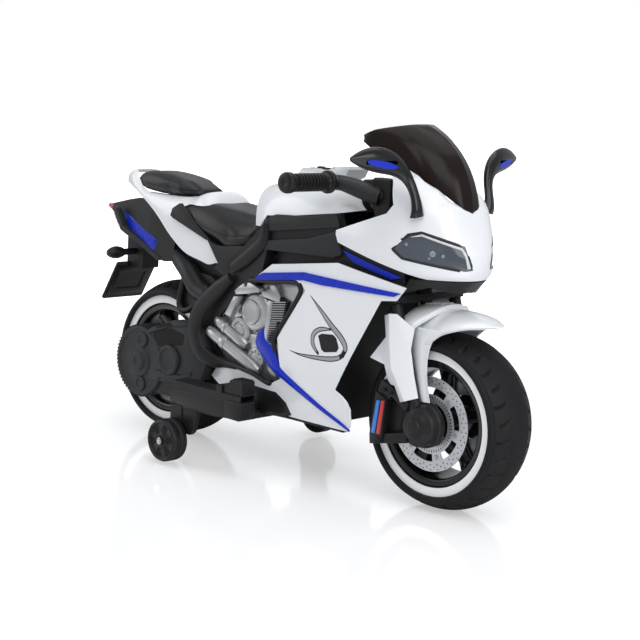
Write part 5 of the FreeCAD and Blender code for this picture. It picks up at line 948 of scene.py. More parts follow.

# engine: cast covers, pipes and fins on a back plate painted darker as shade in the recesses; each casting
# stands proud of the plate's face
engine = {
    "face": -95, "backDepth": 30, "clutch": (6, 307), "third": (10, 216), "second": (-36, 265),
    "ringAt": (-3, 305), "back": [(-114, 262), (-52, 356), (12, 376), (140, 386), (150, 372), (150, 350),
                                  (92, 266), (98, 214), (72, 172), (10, 184), (-104, 197)],
    "castings": [
        ([(-55, 333), (-54, 350), (-45, 353), (-42, 347), (-35, 349), (-32, 355), (-22, 357), (-19, 350),
          (-12, 352), (-9, 360), (10, 363), (14, 345), (-11, 337)], 9),
        ([(21, 340), (22, 361), (33, 363), (36, 354), (43, 355), (42, 364), (58, 366), (72, 346),
          (71, 333)], 10),
        ([(64, 374), (128, 380), (140, 376), (141, 361), (84, 280), (86, 334)], 3),
        ([(-98, 290), (-66, 336), (-57, 332), (-86, 286)], 6),
        ([(42, 334), (53, 334), (45, 257), (33, 261)], 11),
        ([(-60, 296), (-34, 322), (-22, 318), (-30, 296), (-48, 284)], 6),
        ([(-14, 262), (22, 262), (34, 244), (30, 226), (0, 232), (-14, 244)], 5),
        ([(40, 206), (62, 200), (70, 184), (46, 190)], 5)],
    "bars": 5, "barStep": (8, -4), "bar": [(-66, 240), (-63, 248), (-59.5, 247), (-62.5, 239)],
    "barProud": 8, "outerFace": -122.4, "outerDepth": 12,
    "outerHeads": [
        [(-31, 337), (-34, 344), (-24, 352), (-10, 361), (-7, 355), (-2, 355), (0, 363), (7, 364),
         (20, 360), (33, 356), (33, 350), (1, 342)], [(-60, 295), (-36, 332), (-21, 334), (-44, 291)]],
    "gaps": [([(46, 352), (75, 343), (93, 338), (85, 311), (70, 287), (60, 268), (58, 251), (38, 255),
               (44, 330)], 7),
             ([(-20, 337), (22, 341), (22, 334), (-16, 330)], 2)],
    "pipes": [((-102, 277), (-15, 237), -99), ((-120, 253), (26, 195), -104)], "pipeRadius": 13.0,
    "pipeCollar": 14.4, "pipeShares": [0.8, 1, 1, 1, 1, 1, 1, 1, 1, 0.98, 0.88, 0.6],
    "clutchProfile": [(0, 40), (6, 39.5), (9.5, 37), (12, 31), (12.6, 24), (12, 23), (12.2, 2)],
    "ringProfile": [(11.5, 24.5), (13.6, 24), (14.4, 22.6), (14.2, 20.4), (12.6, 19.4), (12.9, 2)],
    "secondProfile": [(0, 27), (6, 26.6), (9, 24), (9.6, 17), (6, 15.4), (5.6, 11.6), (8, 10.6), (8.4, 2)],
    "thirdProfile": [(0, 22), (7, 21.6), (9, 19), (9.2, 13.4), (8, 12.6), (8, 9.2), (9.8, 8.4), (10, 2)],
}


def proudPanels(castings):
    return [(outline, engine["face"] - proud, proud + 1) for outline, proud in castings]


def makeEngine():
    # the back plate's darker silver is painted shade for the recesses round the castings
    drawPiece("engineBack", "dullSilver", [(engine["back"], engine["face"], engine["backDepth"])],
              standsFor=["engine_covers"], slot="silver_plastic", bevel=1.5)
    stepX, stepZ = engine["barStep"]
    bars = [([(x + stepX * n, z + stepZ * n) for x, z in engine["bar"]], engine["barProud"])
            for n in range(engine["bars"])]
    panels = proudPanels(engine["castings"] + bars)
    panels += [(outline, engine["outerFace"], engine["outerDepth"]) for outline in engine["outerHeads"]]
    tubes = []
    for (x0, z0), (x1, z1), y in engine["pipes"]:
        shares = np.linspace(0, 1, len(engine["pipeShares"]))
        line = [(x0 + (x1 - x0) * t, y, z0 + (z1 - z0) * t) for t in shares]
        tubes.append((line, [engine["pipeRadius"] * share for share in engine["pipeShares"]], 28))
        tubes.append((line[3:5], engine["pipeCollar"], 28))
    knobs = []
    for name, place, sides in (("clutch", "clutch", 56), ("second", "second", 56), ("third", "third", 56),
                               ("ring", "ringAt", 48)):
        x, z = engine[place]
        knobs.append((engine[name + "Profile"], (x, engine["face"], z), outRight, sides))
    drawPiece("engineCast", "castSilver", panels, knobs, tubes, slot="silver_plastic", bevel=1.1, smooth=36)
    # near black sheets in the gaps between castings: painted shade in the recesses
    drawPiece("engineGapShade", "deepBlack", proudPanels(engine["gaps"]))


makeEngine()

# repeated engine detail: two stacks of fins, a ring of bolts and a ring of dark dots
engineDetail = {"fins": 9, "finTop": (69, 334), "finStep": (-0.9, -4.5), "finLong": (20, 11),
                "finRise": 2.4, "finTilt": 0.14, "finHalf": 0.9, "finProud": 9, "stackSet": -4,
                "bolt": [(0, 2.4), (1.6, 2.4), (2.2, 1.8), (2.2, 0.4)], "boltSides": 12, "bolts": 7,
                "boltsAt": 36.2, "boltStart": 0.3, "boltProud": 8.6, "dot": [(0, 1.7), (0.2, 1.5)],
                "dotSides": 10, "dots": 9, "dotsAt": 15.6, "dotStart": 0.1, "dotProud": 9.2}


def makeEngineDetail():
    made, out = engineDetail, -engine["face"]
    stepX, stepZ = made["finStep"]
    rise = made["finRise"]
    placed = []
    for number, half in enumerate(made["finLong"]):
        tilt = made["finTilt"] * half
        fin = [[(-half, -rise, z - tilt), (half, -rise, z + tilt), (half + 1, rise, z + tilt),
                (-half, rise, z - tilt)]
               for z in (-made["finHalf"], made["finHalf"])]
        stack = repeatUnit(fin, lineTree, "castSilver", Count=made["fins"],
                           Step=(stepX * mm, 0.0, stepZ * mm))
        x = made["finTop"][0] + (stepX * made["fins"] + made["stackSet"]) * number
        z = made["finTop"][1] + stepZ * made["fins"] * number
        for side in (-1, 1):
            spot = Matrix.Translation((x * mm, side * (out + made["finProud"]) * mm, z * mm))
            placed.append((stack, spot @ Matrix.Diagonal((1, -side, 1, 1))))
    for name, centre, finish in (("bolt", "clutch", "castSilver"), ("dot", "third", "satinBlack")):
        unit = turnedUnit(made[name], made[name + "Sides"])
        ring = repeatUnit(unit, ringTree, finish, Count=made[name + "s"], Radius=made[name + "sAt"] * mm,
                          Start=made[name + "Start"])
        x, z = engine[centre]
        placed += onBothSides(ring, x, out + made[name + "Proud"], z)
    placeMeshes("engineFinsAndBolts", placed)


makeEngineDetail()

# the fairing's face bows inwards towards both ends and tucks in below a level
fairing = {"half": 126, "middle": 140, "reach": 230, "bow": 14, "tuckBelow": 290, "tuckOver": 160,
           "tuck": 16}


def fairingFace(x, z):
    bow = fairing["bow"] * ((x - fairing["middle"]) / fairing["reach"]) ** 2
    tuck = fairing["tuck"] * (max(0, fairing["tuckBelow"] - z) / fairing["tuckOver"]) ** 2
    return bow + tuck - fairing["half"]


def onFairing(line, sunk):
    return [(x, fairingFace(x, z) + sunk, z) for x, z in line]


# black trim round the engine opening, on the fairing's cut edge
trim = {"lines": [[(2, 369), (60, 374), (118, 380), (133, 381), (141, 374), (141, 360), (112, 316),
                   (79, 270), (83, 240), (88, 212)],
                  [(72, 184), (66, 179), (56, 180), (14, 190), (-40, 196), (-100, 202)]],
        "steps": 70, "radius": 4.6, "sunk": 2.5, "sides": 14}
trimTubes = [(onFairing(smoothLine(line, trim["steps"]), trim["sunk"]), trim["radius"], trim["sides"])
             for line in trim["lines"]]
drawPiece("engineTrim", "satinBlack", tubes=trimTubes, smooth=60)
print("stage: engine")

# blue sweeps: domed bands that hook round the engine and run down the fairing
sweep = {"rear": [(52, 282), (39, 276), (32, 263), (31, 249), (44, 234), (60, 220), (81, 204), (99, 197),
                  (129, 184), (194, 155), (244, 134), (264, 126)],
         "front": [(53, 282), (55, 272), (58, 263), (72, 256), (83, 247), (91, 233), (98, 218), (113, 208),
                   (140, 194), (202, 162), (248, 140), (268, 127.5)],
         "steps": 60, "across": 9, "rise": 3.2, "lift": 0.8, "dome": 0.6}


def makeSweeps():
    def place(p, t):
        lift = sweep["lift"] + sweep["rise"] * math.sin(math.pi * t) ** sweep["dome"]
        return (p[0], fairingFace(*p) - lift, p[1])

    shape = bmesh.new()
    rear, front = (smoothLine(sweep[key], sweep["steps"]) for key in ("rear", "front"))
    addLoft(shape, rear, front, sweep["across"], place)
    closeSheet("sweepBands", shape, "royalBlue", outRight, wall=4.0, standsFor=["fairing_sweeps"],
               slot="blue_plastic", smooth=60)


makeSweeps()

# rolled front edges and dark keels of the fairings
fairingEdge = {"front": [(330, 375), (281, 285.5), (233, 198), (237, 194.5), (251, 187.5), (262, 178),
                         (268, 166), (268, 150), (266, 136), (257, 125)], "steps": 6, "radius": 2.4,
               "sunk": 1.6, "sides": 14, "keel": [(30, 124.5), (120, 125.5), (258, 125), (250, 119.5),
                                                  (110, 119), (30, 116)],
               "keelLevel": 128, "keelSunk": 1.0, "keelDepth": 12}
beads = onFairing(straightLine(fairingEdge["front"], fairingEdge["steps"]), fairingEdge["sunk"])
drawPiece("fairingBeads", "glossWhite", tubes=[(beads, fairingEdge["radius"], fairingEdge["sides"])],
          slot="white_plastic", smooth=60)


def keelFace(x, z):
    return fairingFace(x, fairingEdge["keelLevel"]) + fairingEdge["keelSunk"]


drawPiece("fairingKeels", "satinBlack", [(fairingEdge["keel"], keelFace, fairingEdge["keelDepth"])],
          bevel=1.2)


# layered black panels under the tank, whose faces close in towards the nose
def closingFace(start, rate, rear=30):
    return lambda x, z: start + rate * (x - rear)


sideBands = {"paint": "greyMould", "bevel": 2.4, "cuts": 3, "panels": [
    ([(26, 470), (40, 490), (62, 499), (121, 502), (160, 507), (203, 514), (213, 490), (161, 482),
      (104, 474), (48, 466), (34, 472)], closingFace(-121.4, 0.085), 24),
    ([(10, 431), (26, 450), (52, 450), (143, 463), (206, 482), (214, 476), (222, 440), (205, 433),
      (39, 431)], closingFace(-121.8, 0.075), 24)]}
drawPiece("sideBands", **sideBands)
sideGaps = {"paint": "satinBlack", "panels": [
    ([(48, 468), (161, 485), (214, 492), (206, 477), (143, 458), (52, 446)], closingFace(-115, 0.07), 12)]}
drawPiece("sideGaps", **sideGaps)

# ridges that stand on the frame spars and sink where they curl below the engine
ridges = {"lower": [(-47, 367), (-90, 334), (-128, 298), (-146, 262), (-143, 232), (-127, 208), (-98, 196),
                    (-66, 195), (-30, 193)], "lowerHalves": [10, 15, 17, 18, 18, 18, 15, 9, 5],
          "lowerSteps": 64, "upper": [(40, 478), (34, 446), (4, 418), (-42, 386)],
          "upperHalves": [7, 13, 14, 11], "upperSteps": 40, "face": -120.4, "lowerRise": 7.5,
          "upperRise": 5.625, "sink": 14, "sinkAlong": (-132, -68), "sinkDown": (232, 207)}


def makeRidges():
    def face(x, z):
        share = ramp(x, *ridges["sinkAlong"]) * ramp(z, *ridges["sinkDown"])
        return ridges["face"] + ridges["sink"] * share

    shape = bmesh.new()
    for name in ("lower", "upper"):
        addBand(shape, ridges[name], ridges[name + "Halves"], face, ridges[name + "Rise"],
                ridges[name + "Steps"])
    closeShape("sparRidges", shape, "satinBlack", smooth=48)


makeRidges()
print("stage: sides")


# draping: places on a surface found by looking along a direction
def surfaceOf(*meshes):
    corners, faces = [], []
    for mesh in meshes:
        first = len(corners)
        corners += [vert.co.copy() for vert in mesh.vertices]
        faces += [[first + i for i in face.vertices] for face in mesh.polygons]
    return BVHTree.FromPolygons(corners, faces)


def nodeSurface(*names):
    return surfaceOf(*(nodes[name].data for name in names))


startBack = 0.5


def drape(surface, point, look, lift):
    # the point is in millimetres; look points towards the surface
    look = Vector(look).normalized()
    start = Vector(point) * mm - look * startBack
    hit, normal, _, _ = surface.ray_cast(start, look)
    if hit is None:
        hit, normal, _, _ = surface.find_nearest(Vector(point) * mm)
    if normal.dot(look) > 0:
        normal = -normal
    return hit / mm + normal * lift, normal


def fromSide(surface, x, z, lift, far=300):
    return drape(surface, (x, -far, z), leftward, lift)


# the front quarter: the direction in which lamps and mirror inserts are drawn
quarter = {"angle": math.radians(43.5), "far": 300}
quarterAcross = Vector((math.cos(quarter["angle"]), math.sin(quarter["angle"]), 0))
quarterLook = Vector((-math.sin(quarter["angle"]), math.cos(quarter["angle"]), 0))


def fromQuarter(surface, a, z, lift):
    point = quarterAcross * a - quarterLook * quarter["far"] + Vector((0, 0, z))
    return drape(surface, point, quarterLook, lift)


# headlights: a dark frame, a bright strip and small lamps
lamp = {"outline": [(175.8, 466), (201, 494), (224, 500), (299.5, 478), (316, 438), (302, 436), (193, 452)],
        "frameHalf": 2.3, "frameRise": 1.0, "strip": [(206, 490.5), (224, 495), (294, 474.5), (303, 462),
                                                      (309.5, 441)],
        "stripHalves": [0.6, 1.9, 2.0, 2.6, 3.2], "stripRise": 0.8, "steps": 10, "lift": 0.1,
        "bulbs": [(199, 477, 2.8), (244, 464, 5.2), (239, 455.5, 2.2), (262, 461, 3.0)], "bulbLift": -0.4,
        "bulbShares": [(0, 1), (0.5, 1), (0.9, 0.8), (0.5, 0.62), (0.7, 0.3)], "bulbTip": (0.8, 0.1)}


def makeHeadlights():
    surface = nodeSurface("nose_cowl", "headlight_lenses")
    border, strip, bulbs = bmesh.new(), bmesh.new(), bmesh.new()
    corners = closedLine(lamp["outline"], lamp["steps"])
    places = [fromQuarter(surface, a, z, lamp["lift"]) for a, z in corners]
    addRibbon(border, places, lamp["frameHalf"], lamp["frameRise"], closed=True)
    closeShape("lampFrames", border, "greyMould", smooth=50)
    path = straightLine(lamp["strip"], lamp["steps"])
    places = [fromQuarter(surface, a, z, lamp["lift"]) for a, z in path]
    addRibbon(strip, places, spread(lamp["stripHalves"], len(path)), lamp["stripRise"])
    closeShape("lampStrips", strip, "paleStrip", slot="lens", smooth=50)
    # the small lamps are light metallic domes set where glints show: real lamps with a painted highlight
    for a, z, radius in lamp["bulbs"]:
        p, normal = fromQuarter(surface, a, z, lamp["bulbLift"])
        profile = [(far, radius * share) for far, share in lamp["bulbShares"]] + [lamp["bulbTip"]]
        addTurned(bulbs, profile, p, normal, 24)
    closeShape("lampBulbs", bulbs, "lampGlint", slot="lens")


makeHeadlights()

# mirrors: leaf-shaped blue inserts on the shells' fronts
leaf = {"across": 148.5, "z": 614.6, "long": 26.5, "tall": 6.0, "tilt": -0.16, "columns": 25, "rows": 7,
        "least": 0.05, "lift": 0.5}


def makeLeaves():
    surface = nodeSurface("mirror_arms", "mirror_inserts")
    heights = np.linspace(-1, 1, leaf["rows"])
    net = []
    for t in np.linspace(-1, 1, leaf["columns"]):
        half = leaf["tall"] * math.sqrt(max(0.0, 1 - t * t)) + leaf["least"]
        a = leaf["across"] + leaf["long"] * t
        z = leaf["z"] + leaf["tilt"] * leaf["long"] * t
        net.append([fromQuarter(surface, a, z + half * v, leaf["lift"])[0] for v in heights])
    shape = bmesh.new()
    addNet(shape, net)
    closeSheet("mirrorLeaves", shape, "royalBlue", -quarterLook, wall=1.2, standsFor=["mirror_inserts"],
               slot="blue_plastic", smooth=50)


makeLeaves()

# windscreen: a smoked bubble with rounded corners, its foot laid on the nose
# low and top are shares of its length and height, given against the share of its half width
screen = {"front": 432.5, "foot": 538.3, "long": 198, "tall": 146, "half": 81, "bulge": 30, "flare": 3.0,
          "lean": math.radians(34), "wall": 2.4, "columns": 49, "rows": 22, "reach": 0.985,
          "lowX": [(0, 0.0), (0.37, 0.1), (0.63, 0.29), (0.8, 0.5), (1, 1.05)],
          "lowZ": [(0, 0.0), (0.37, 0.115), (0.63, 0.285), (0.8, 0.45), (1, 0.69)],
          "topX": [(0, 0.6), (0.37, 0.64), (0.63, 0.73), (0.85, 0.86), (0.95, 0.96), (1, 1.08)],
          "topZ": [(0, 0.97), (0.37, 0.965), (0.63, 0.94), (0.85, 0.9), (0.95, 0.86), (1, 0.8)],
          "round": 0.34, "roundFrom": 0.9, "roundPower": 2.4, "sideFlat": 0.7, "topIn": 0.05,
          "footReach": 16, "footLift": 0.8,
          "footDrop": [(0, 0.018), (0.15, 0.042), (0.27, 0.06), (0.5, 0.06), (0.65, 0.045), (0.8, 0.02),
                       (0.95, 0)]}


def makeScreen():
    sides = np.linspace(-screen["reach"], screen["reach"], screen["columns"])
    nose = nodeSurface("nose_cowl")
    outward = Vector((math.cos(screen["lean"]), 0, math.sin(screen["lean"])))
    lean = np.array([outward.x, outward.z])

    def across(key, count):
        line = smoothLine(screen[key], count)
        return np.interp(abs(sides), line[:, 0], line[:, 1])

    def edge(name):
        return np.stack([screen["front"] - screen["long"] * across(name + "X", 80),
                         screen["foot"] + screen["tall"] * across(name + "Z", 80)], 1)

    def footGap(x, y, z):
        # how far outside the drawn foot the nose lies there
        drawn = Vector((x, y, z))
        start = drawn + outward * screen["footReach"]
        hit = nose.ray_cast(start * mm, -outward, 2 * screen["footReach"] * mm)[0]
        return None if hit is None else screen["footLift"] + (hit / mm - drawn).dot(outward)

    lows, tops = edge("low"), edge("top")
    lows = lows - (tops - lows) * across("footDrop", 40)[:, None]
    gaps = [footGap(low[0], screen["half"] * u, low[1]) for u, low in zip(sides, lows)]
    met = [i for i, gap in enumerate(gaps) if gap is not None]
    gaps = np.interp(range(len(gaps)), met, [gaps[i] for i in met])
    net = []
    for u, low, top in zip(sides, lows + gaps[:, None] * lean, tops):
        side = abs(u)
        trimmed = screen["round"] * ramp(side, screen["roundFrom"], 1) ** screen["roundPower"]
        column = []
        for v in np.linspace(trimmed, 1 - trimmed, screen["rows"]):
            swell = screen["bulge"] * 4 * v * (1 - v) * (1 - screen["sideFlat"] * side)
            swell += screen["flare"] * v * v * (1 - side)
            x, z = low + (top - low) * v + swell * lean
            column.append((x, screen["half"] * u * (1 - screen["topIn"] * v * v), z))
        net.append(column)
    shape = bmesh.new()
    addNet(shape, net)
    closeSheet("smokedScreen", shape, "smokedScreen", (1, 0, 0.6), wall=screen["wall"], mirror=False,
               standsFor=["windscreen"], slot="smoked", bevel=0.8, smooth=60)


makeScreen()

# plain swept strokes and a dark plate on each fairing
stroke = {"lines": [([(170, 363), (198, 339), (225, 315), (248, 297), (260, 280), (254, 264)],
                     [0.3, 3, 5, 6, 6, 4]),
                    ([(123, 254), (155, 250), (211, 252), (240, 257), (256, 266)], [0.3, 2.6, 4.2, 5, 4.4]),
                    ([(226, 308), (198, 304), (183, 292), (183, 274), (197, 258)],
                     [1.6, 4.4, 5, 4.6, 2.4])],
          "steps": 40, "edgeRise": 0.35, "fillRise": 0.6, "fillInset": 1.5, "fillLeast": 0.1, "fillEnd": 3,
          "plate": [(195, 292), (203, 297), (230, 299), (238, 294), (245, 277), (240, 269), (211, 264),
                    (204, 268)],
          "plateSteps": 4, "plateLift": 0.5, "plateDepth": 2}


def makeStrokes():
    surface = nodeSurface("fairing_right")
    edge, fill = bmesh.new(), bmesh.new()
    inner = slice(stroke["fillEnd"], -stroke["fillEnd"])
    for points, ends in stroke["lines"]:
        halves = spread(ends, stroke["steps"])
        places = [fromSide(surface, x, z, 0.0) for x, z in smoothLine(points, stroke["steps"])]
        addRibbon(edge, places, halves, stroke["edgeRise"])
        narrow = [max(half - stroke["fillInset"], stroke["fillLeast"]) for half in halves[inner]]
        addRibbon(fill, places[inner], narrow, stroke["fillRise"])
    outline = closedLine(stroke["plate"], stroke["plateSteps"])
    outer = [fromSide(surface, x, z, stroke["plateLift"])[0] for x, z in outline]
    addRings(edge, [outer, [p + Vector((0, stroke["plateDepth"], 0)) for p in outer]])
    closeShape("strokeEdges", edge, "satinBlack", smooth=50)
    closeShape("strokeFills", fill, "ashGrey", slot="grey_plastic", smooth=50)


makeStrokes()
print("stage: nose, mirrors and strokes")

# cushions: the CAD forms are stuffed by a short cloth run
# blunt widens the form between two x, scoop presses a hollow into each flank between two x
cushions = {"seat": {"pull": 1.6, "cap": 4.0, "voxel": 5.0, "fill": 0.8},
            "pillion_pad": {"pull": 1.4, "cap": 3.2, "voxel": 4.0, "fill": 0.85,
                            "blunt": (-320, -245, 0.24), "scoop": (-292, -242, 22, 4.0),
                            "scoopEase": (14, 6, 9)},
            "pressure": 4.0, "frames": 20, "weld": 0.00003, "evenSteps": 4, "smooth": 75}


def movePoints(piece, places):
    for vert, place in zip(piece.data.vertices, places):
        vert.co = place


def pointsOf(piece):
    return np.array([vert.co[:] for vert in piece.data.vertices])


def bluntForm(shape, first, last, more):
    for vert in shape.verts:
        vert.co.y *= 1 + more * ramp(vert.co.x / mm, first, last)


def stuff(piece, begin, cap):
    stuffing = piece.modifiers.new("stuffing", "CLOTH")
    stuffing.settings.use_pressure = True
    stuffing.settings.uniform_pressure_force = cushions["pressure"]
    stuffing.settings.effector_weights.gravity = 0
    stuffing.point_cache.frame_start = 1
    stuffing.point_cache.frame_end = cushions["frames"]
    for number in range(1, cushions["frames"] + 1):
        bpy.context.scene.frame_set(number)
    freeze(piece)
    bpy.context.scene.frame_set(1)
    moved = pointsOf(piece) - begin
    far = np.linalg.norm(moved, axis=1, keepdims=True)
    movePoints(piece, begin + moved * np.minimum(1, cap * mm / np.maximum(far, 1e-9)))


def scoopFlanks(piece, made):
    first, last, inner, depth = made["scoop"]
    easeIn, easeOut, easeSide = made["scoopEase"]
    outward = [vert.normal.copy() for vert in piece.data.vertices]
    for vert, normal in zip(piece.data.vertices, outward):
        x, y = vert.co.x / mm, abs(vert.co.y) / mm
        share = ramp(x, first, first + easeIn) * ramp(x, last, last - easeOut)
        share *= ramp(y, inner, inner + easeSide)
        vert.co -= normal * depth * mm * share * share * (3 - 2 * share)


def makeCushion(name, node):
    made = cushions[node]
    shape = bmesh.new()
    shape.from_mesh(nodes[node].data)
    bmesh.ops.remove_doubles(shape, verts=shape.verts, dist=cushions["weld"])
    bmesh.ops.recalc_face_normals(shape, faces=shape.faces)
    if "blunt" in made:
        bluntForm(shape, *made["blunt"])
    mesh = bpy.data.meshes.new(name)
    shape.to_mesh(mesh)
    shape.free()
    piece = addObject(name, mesh)
    grid = piece.modifiers.new("grid", "REMESH")
    grid.mode = "VOXEL"
    grid.voxel_size = made["voxel"] * mm
    even = piece.modifiers.new("even", "SMOOTH")
    even.iterations = cushions["evenSteps"]
    freeze(piece)
    normals = np.array([vert.normal[:] for vert in piece.data.vertices])
    begin = pointsOf(piece) - normals * made["pull"] * mm
    movePoints(piece, begin)
    stuff(piece, begin, made["cap"])
    soft = piece.modifiers.new("soft", "SUBSURF")
    soft.levels = soft.render_levels = 1
    freeze(piece)
    if "scoop" in made:
        scoopFlanks(piece, made)
    piece.data.materials.clear()
    piece.data.materials.append(paints["seatVinyl"])
    settle(piece, "chassis", [node], cushions["smooth"])
    return piece


# seams: piping along the cushions' sides
seams = {"seat": [(-268, 474), (-225, 462), (-170, 447), (-110, 440), (-62, 444), (-36, 452)],
         "pillion_pad": [(-446, 524), (-400, 520), (-350, 516), (-290, 514), (-252, 514)],
         "steps": 60, "half": 1.5, "rise": 1.2, "lift": -0.2}


def makeCushions():
    shape = bmesh.new()
    for name, node in (("saddleCushion", "seat"), ("pillionCushion", "pillion_pad")):
        surface = surfaceOf(makeCushion(name, node).data)
        line = smoothLine(seams[node], seams["steps"])
        addRibbon(shape, [fromSide(surface, x, z, seams["lift"]) for x, z in line], seams["half"],
                  seams["rise"])
    closeShape("cushionPiping", shape, "satinBlack", slot="vinyl", smooth=60)


makeCushions()
print("stage: cushions")

# tail: side blades with pale rims
tail = {"blade": [(-477, 448), (-450, 443), (-363, 410), (-349, 404), (-359, 393), (-382, 396),
                  (-466, 424)],
        "bladeSteps": 6, "bladeFar": 60, "bladeLift": 1.1, "bladeDepth": 5,
        "lip": [(-495, 460), (-491, 449), (-478, 428), (-464, 412), (-381, 379), (-341, 361), (-332, 369),
                (-378, 390), (-458, 422), (-472, 444), (-482, 458)], "lipFace": -58.5, "lipDepth": 16,
        "ends": [(-489, 450), (-486, 444), (-476, 428), (-467, 418)], "endsFace": -58.6, "endsRadius": 1.5}


def makeTail():
    surface = nodeSurface("tail_housing", "tail_blades")
    outline = closedLine(tail["blade"], tail["bladeSteps"])
    outer = [fromSide(surface, x, z, tail["bladeLift"], tail["bladeFar"])[0] for x, z in outline]
    inner = [p + Vector((0, tail["bladeDepth"], 0)) for p in outer]
    drawPiece("tailBladeCaps", "royalBlue", blocks=[[outer, inner]], slot="blue_plastic", bevel=0.8)
    drawPiece("tailRims", "greyMould", [(tail["lip"], tail["lipFace"], tail["lipDepth"])],
              slot="grey_plastic", bevel=1.2)
    line = [(x, tail["endsFace"], z) for x, z in tail["ends"]]
    drawPiece("tailRimEnds", "glossWhite", tubes=[(line, tail["endsRadius"], 12)], slot="white_plastic",
              smooth=50)


makeTail()

# plate frame: a raised border on both faces of the plate holder
plate = {"tilt": math.radians(31), "foot": Vector((-527, 0, 259)), "outer": (50, 10, 88),
         "inner": (33, 26, 70), "thick": 4.0, "rise": 2.4, "sunk": -0.5}


def makePlateFrame():
    up = Vector((math.sin(plate["tilt"]), 0, math.cos(plate["tilt"])))
    out = Vector((math.cos(plate["tilt"]), 0, -math.sin(plate["tilt"])))
    shape = bmesh.new()
    for side, base in ((1, plate["thick"]), (-1, 0)):
        rings = []
        for border, rise in (("outer", "sunk"), ("outer", "rise"), ("inner", "rise"), ("inner", "sunk")):
            half, low, high = plate[border]
            centre = plate["foot"] + out * (base + side * plate[rise])
            rings.append([centre + up * h + Vector((0, y, 0))
                          for y, h in ((-half, low), (half, low), (half, high), (-half, high))])
        addRings(shape, [*rings, rings[0]], capped=False)
    closeShape("plateFrame", shape, "satinBlack", bevel=1.0, mirror=False)


makePlateFrame()

# indicators: a rounded pod in front, a flatter red lens behind
pod = {"x": -458, "z": 365.5, "from": 50, "long": 46, "radius": 14.0, "least": 0.4, "stations": 14,
       "steps": 16, "roundFrom": 0.06, "roundOver": 0.86, "blunt": 0.6, "tall": 0.92, "lensFlat": 0.62,
       "lensGap": 0.15, "stalk": [(-456, -20, 366.5), (-456, -62, 365.5)], "stalkRadius": 7.0}


def makePods():
    def halfPod(flat, gap):
        rings = []
        for t in np.linspace(0, 1, pod["stations"]):
            swell = math.sin(math.pi * (pod["roundFrom"] + pod["roundOver"] * t)) ** pod["blunt"]
            size = pod["radius"] * swell + pod["least"]
            angles = [math.pi * (k / pod["steps"] - 0.5) for k in range(pod["steps"] + 1)]
            rings.append([(pod["x"] + math.cos(q) * size * flat - gap, -pod["from"] - pod["long"] * t,
                           pod["z"] + math.sin(q) * size * pod["tall"]) for q in angles])
        return rings

    drawPiece("indicatorPods", "satinBlack", blocks=[halfPod(1.0, 0.0)],
              tubes=[(pod["stalk"], pod["stalkRadius"], 20, upward)], standsFor=["rear_indicators"],
              smooth=50)
    drawPiece("indicatorLenses", "redLens", blocks=[halfPod(-pod["lensFlat"], pod["lensGap"])],
              slot="red_lens", smooth=50)


makePods()

# black sub-frame below the saddle: skirts, a thick tube, a bolted lug and a loop
subFrame = {"paint": "satinBlack", "bevel": 2.2, "cuts": 3, "panels": [
    ([(-161, 426), (-146, 407), (-127, 383), (-137, 372), (-112, 362), (-84, 364), (-76, 383), (-30, 412),
      (-24, 432), (-60, 424), (-112, 418), (-132, 418)], -84, 40),
    ([(-281, 462), (-275, 477), (-254, 489), (-245, 481), (-211, 460), (-160, 427), (-154, 424),
      (-170, 424), (-272, 457)], -79, 10),
    ([(-247, 343), (-240, 352), (-214, 356), (-160, 352), (-128, 336), (-128, 300), (-160, 284),
      (-192, 290), (-236, 276), (-250, 284)], -70, 14),
    ([(-262, 350), (-250, 392), (-180, 396), (-136, 384), (-128, 346)], -58, 12)],
    "tubes": [(smoothLine([(-302, -38, 378), (-270, -56, 372), (-226, -70, 354), (-188, -76, 324),
                           (-150, -80, 312)], 24), spread([15, 18, 20, 22, 20], 24), 28, upward),
              (smoothLine([(-232, -72, 352), (-243, -74, 312), (-245, -75, 284), (-232, -76, 274),
                           (-206, -78, 282), (-172, -82, 310), (-146, -86, 334)], 36), 7, 16)],
    "knobs": [([(0, 14), (12, 14), (14, 12), (14, 8), (12.6, 7.4), (12.6, 5.8), (14.6, 5), (14.8, 1)],
               (-168, -74, 318), outRight, 32)]}
drawPiece("subFrame", **subFrame)
print("stage: tail and sub-frame")

# gear cases: drum faces with rims, bosses and toothed rear edges, layered arms
case = {"face": -118.6, "teeth": 58, "teethAt": 72.4, "teethProud": 1.6,
        "tooth": [[(-3, -2.6, z), (2.4, -1.5, z), (2.4, 1.5, z), (-3, 2.6, z)] for z in (-40, 0)],
        "drum": [(0, 71.5), (2.5, 71.5), (4, 69.5), (4, 62), (2, 60.5), (2, 33), (4.5, 31), (5, 26),
                 (5, 20), (8, 18.6), (9, 16), (9, 9), (7.6, 8.4), (7.6, 1)],
        "boss": [(0, 31), (7, 31), (10, 28), (10, 23), (7.4, 21.5), (7.4, 2)], "bossAt": (-217, 178),
        "stud": [(1, 15), (4.6, 15), (5.8, 13.4), (5.8, 10), (4.4, 9), (4.4, 0.3)],
        "studsAt": [(-303, 206), (-306, 114)],
        "layers": [([(-276, 236), (-213, 259), (-170, 262), (-132, 250), (-116, 226), (-108, 180),
                     (-124, 152), (-160, 140), (-240, 130), (-282, 128)], 2.4, 30),
                   ([(-262, 150), (-182, 152), (-150, 164), (-150, 156), (-184, 142), (-262, 138)], 5, 6),
                   ([(-288, 222), (-282, 232), (-216, 256), (-160, 262), (-160, 255), (-214, 247),
                     (-276, 226)], 5, 6)],
        "gaps": [([(-272, 213), (-268, 231), (-214, 243), (-176, 236), (-178, 214), (-250, 200)], 2.7, 2),
                 ([(-262, 242), (-216, 255), (-209, 249), (-258, 236)], 5.2, 2)]}


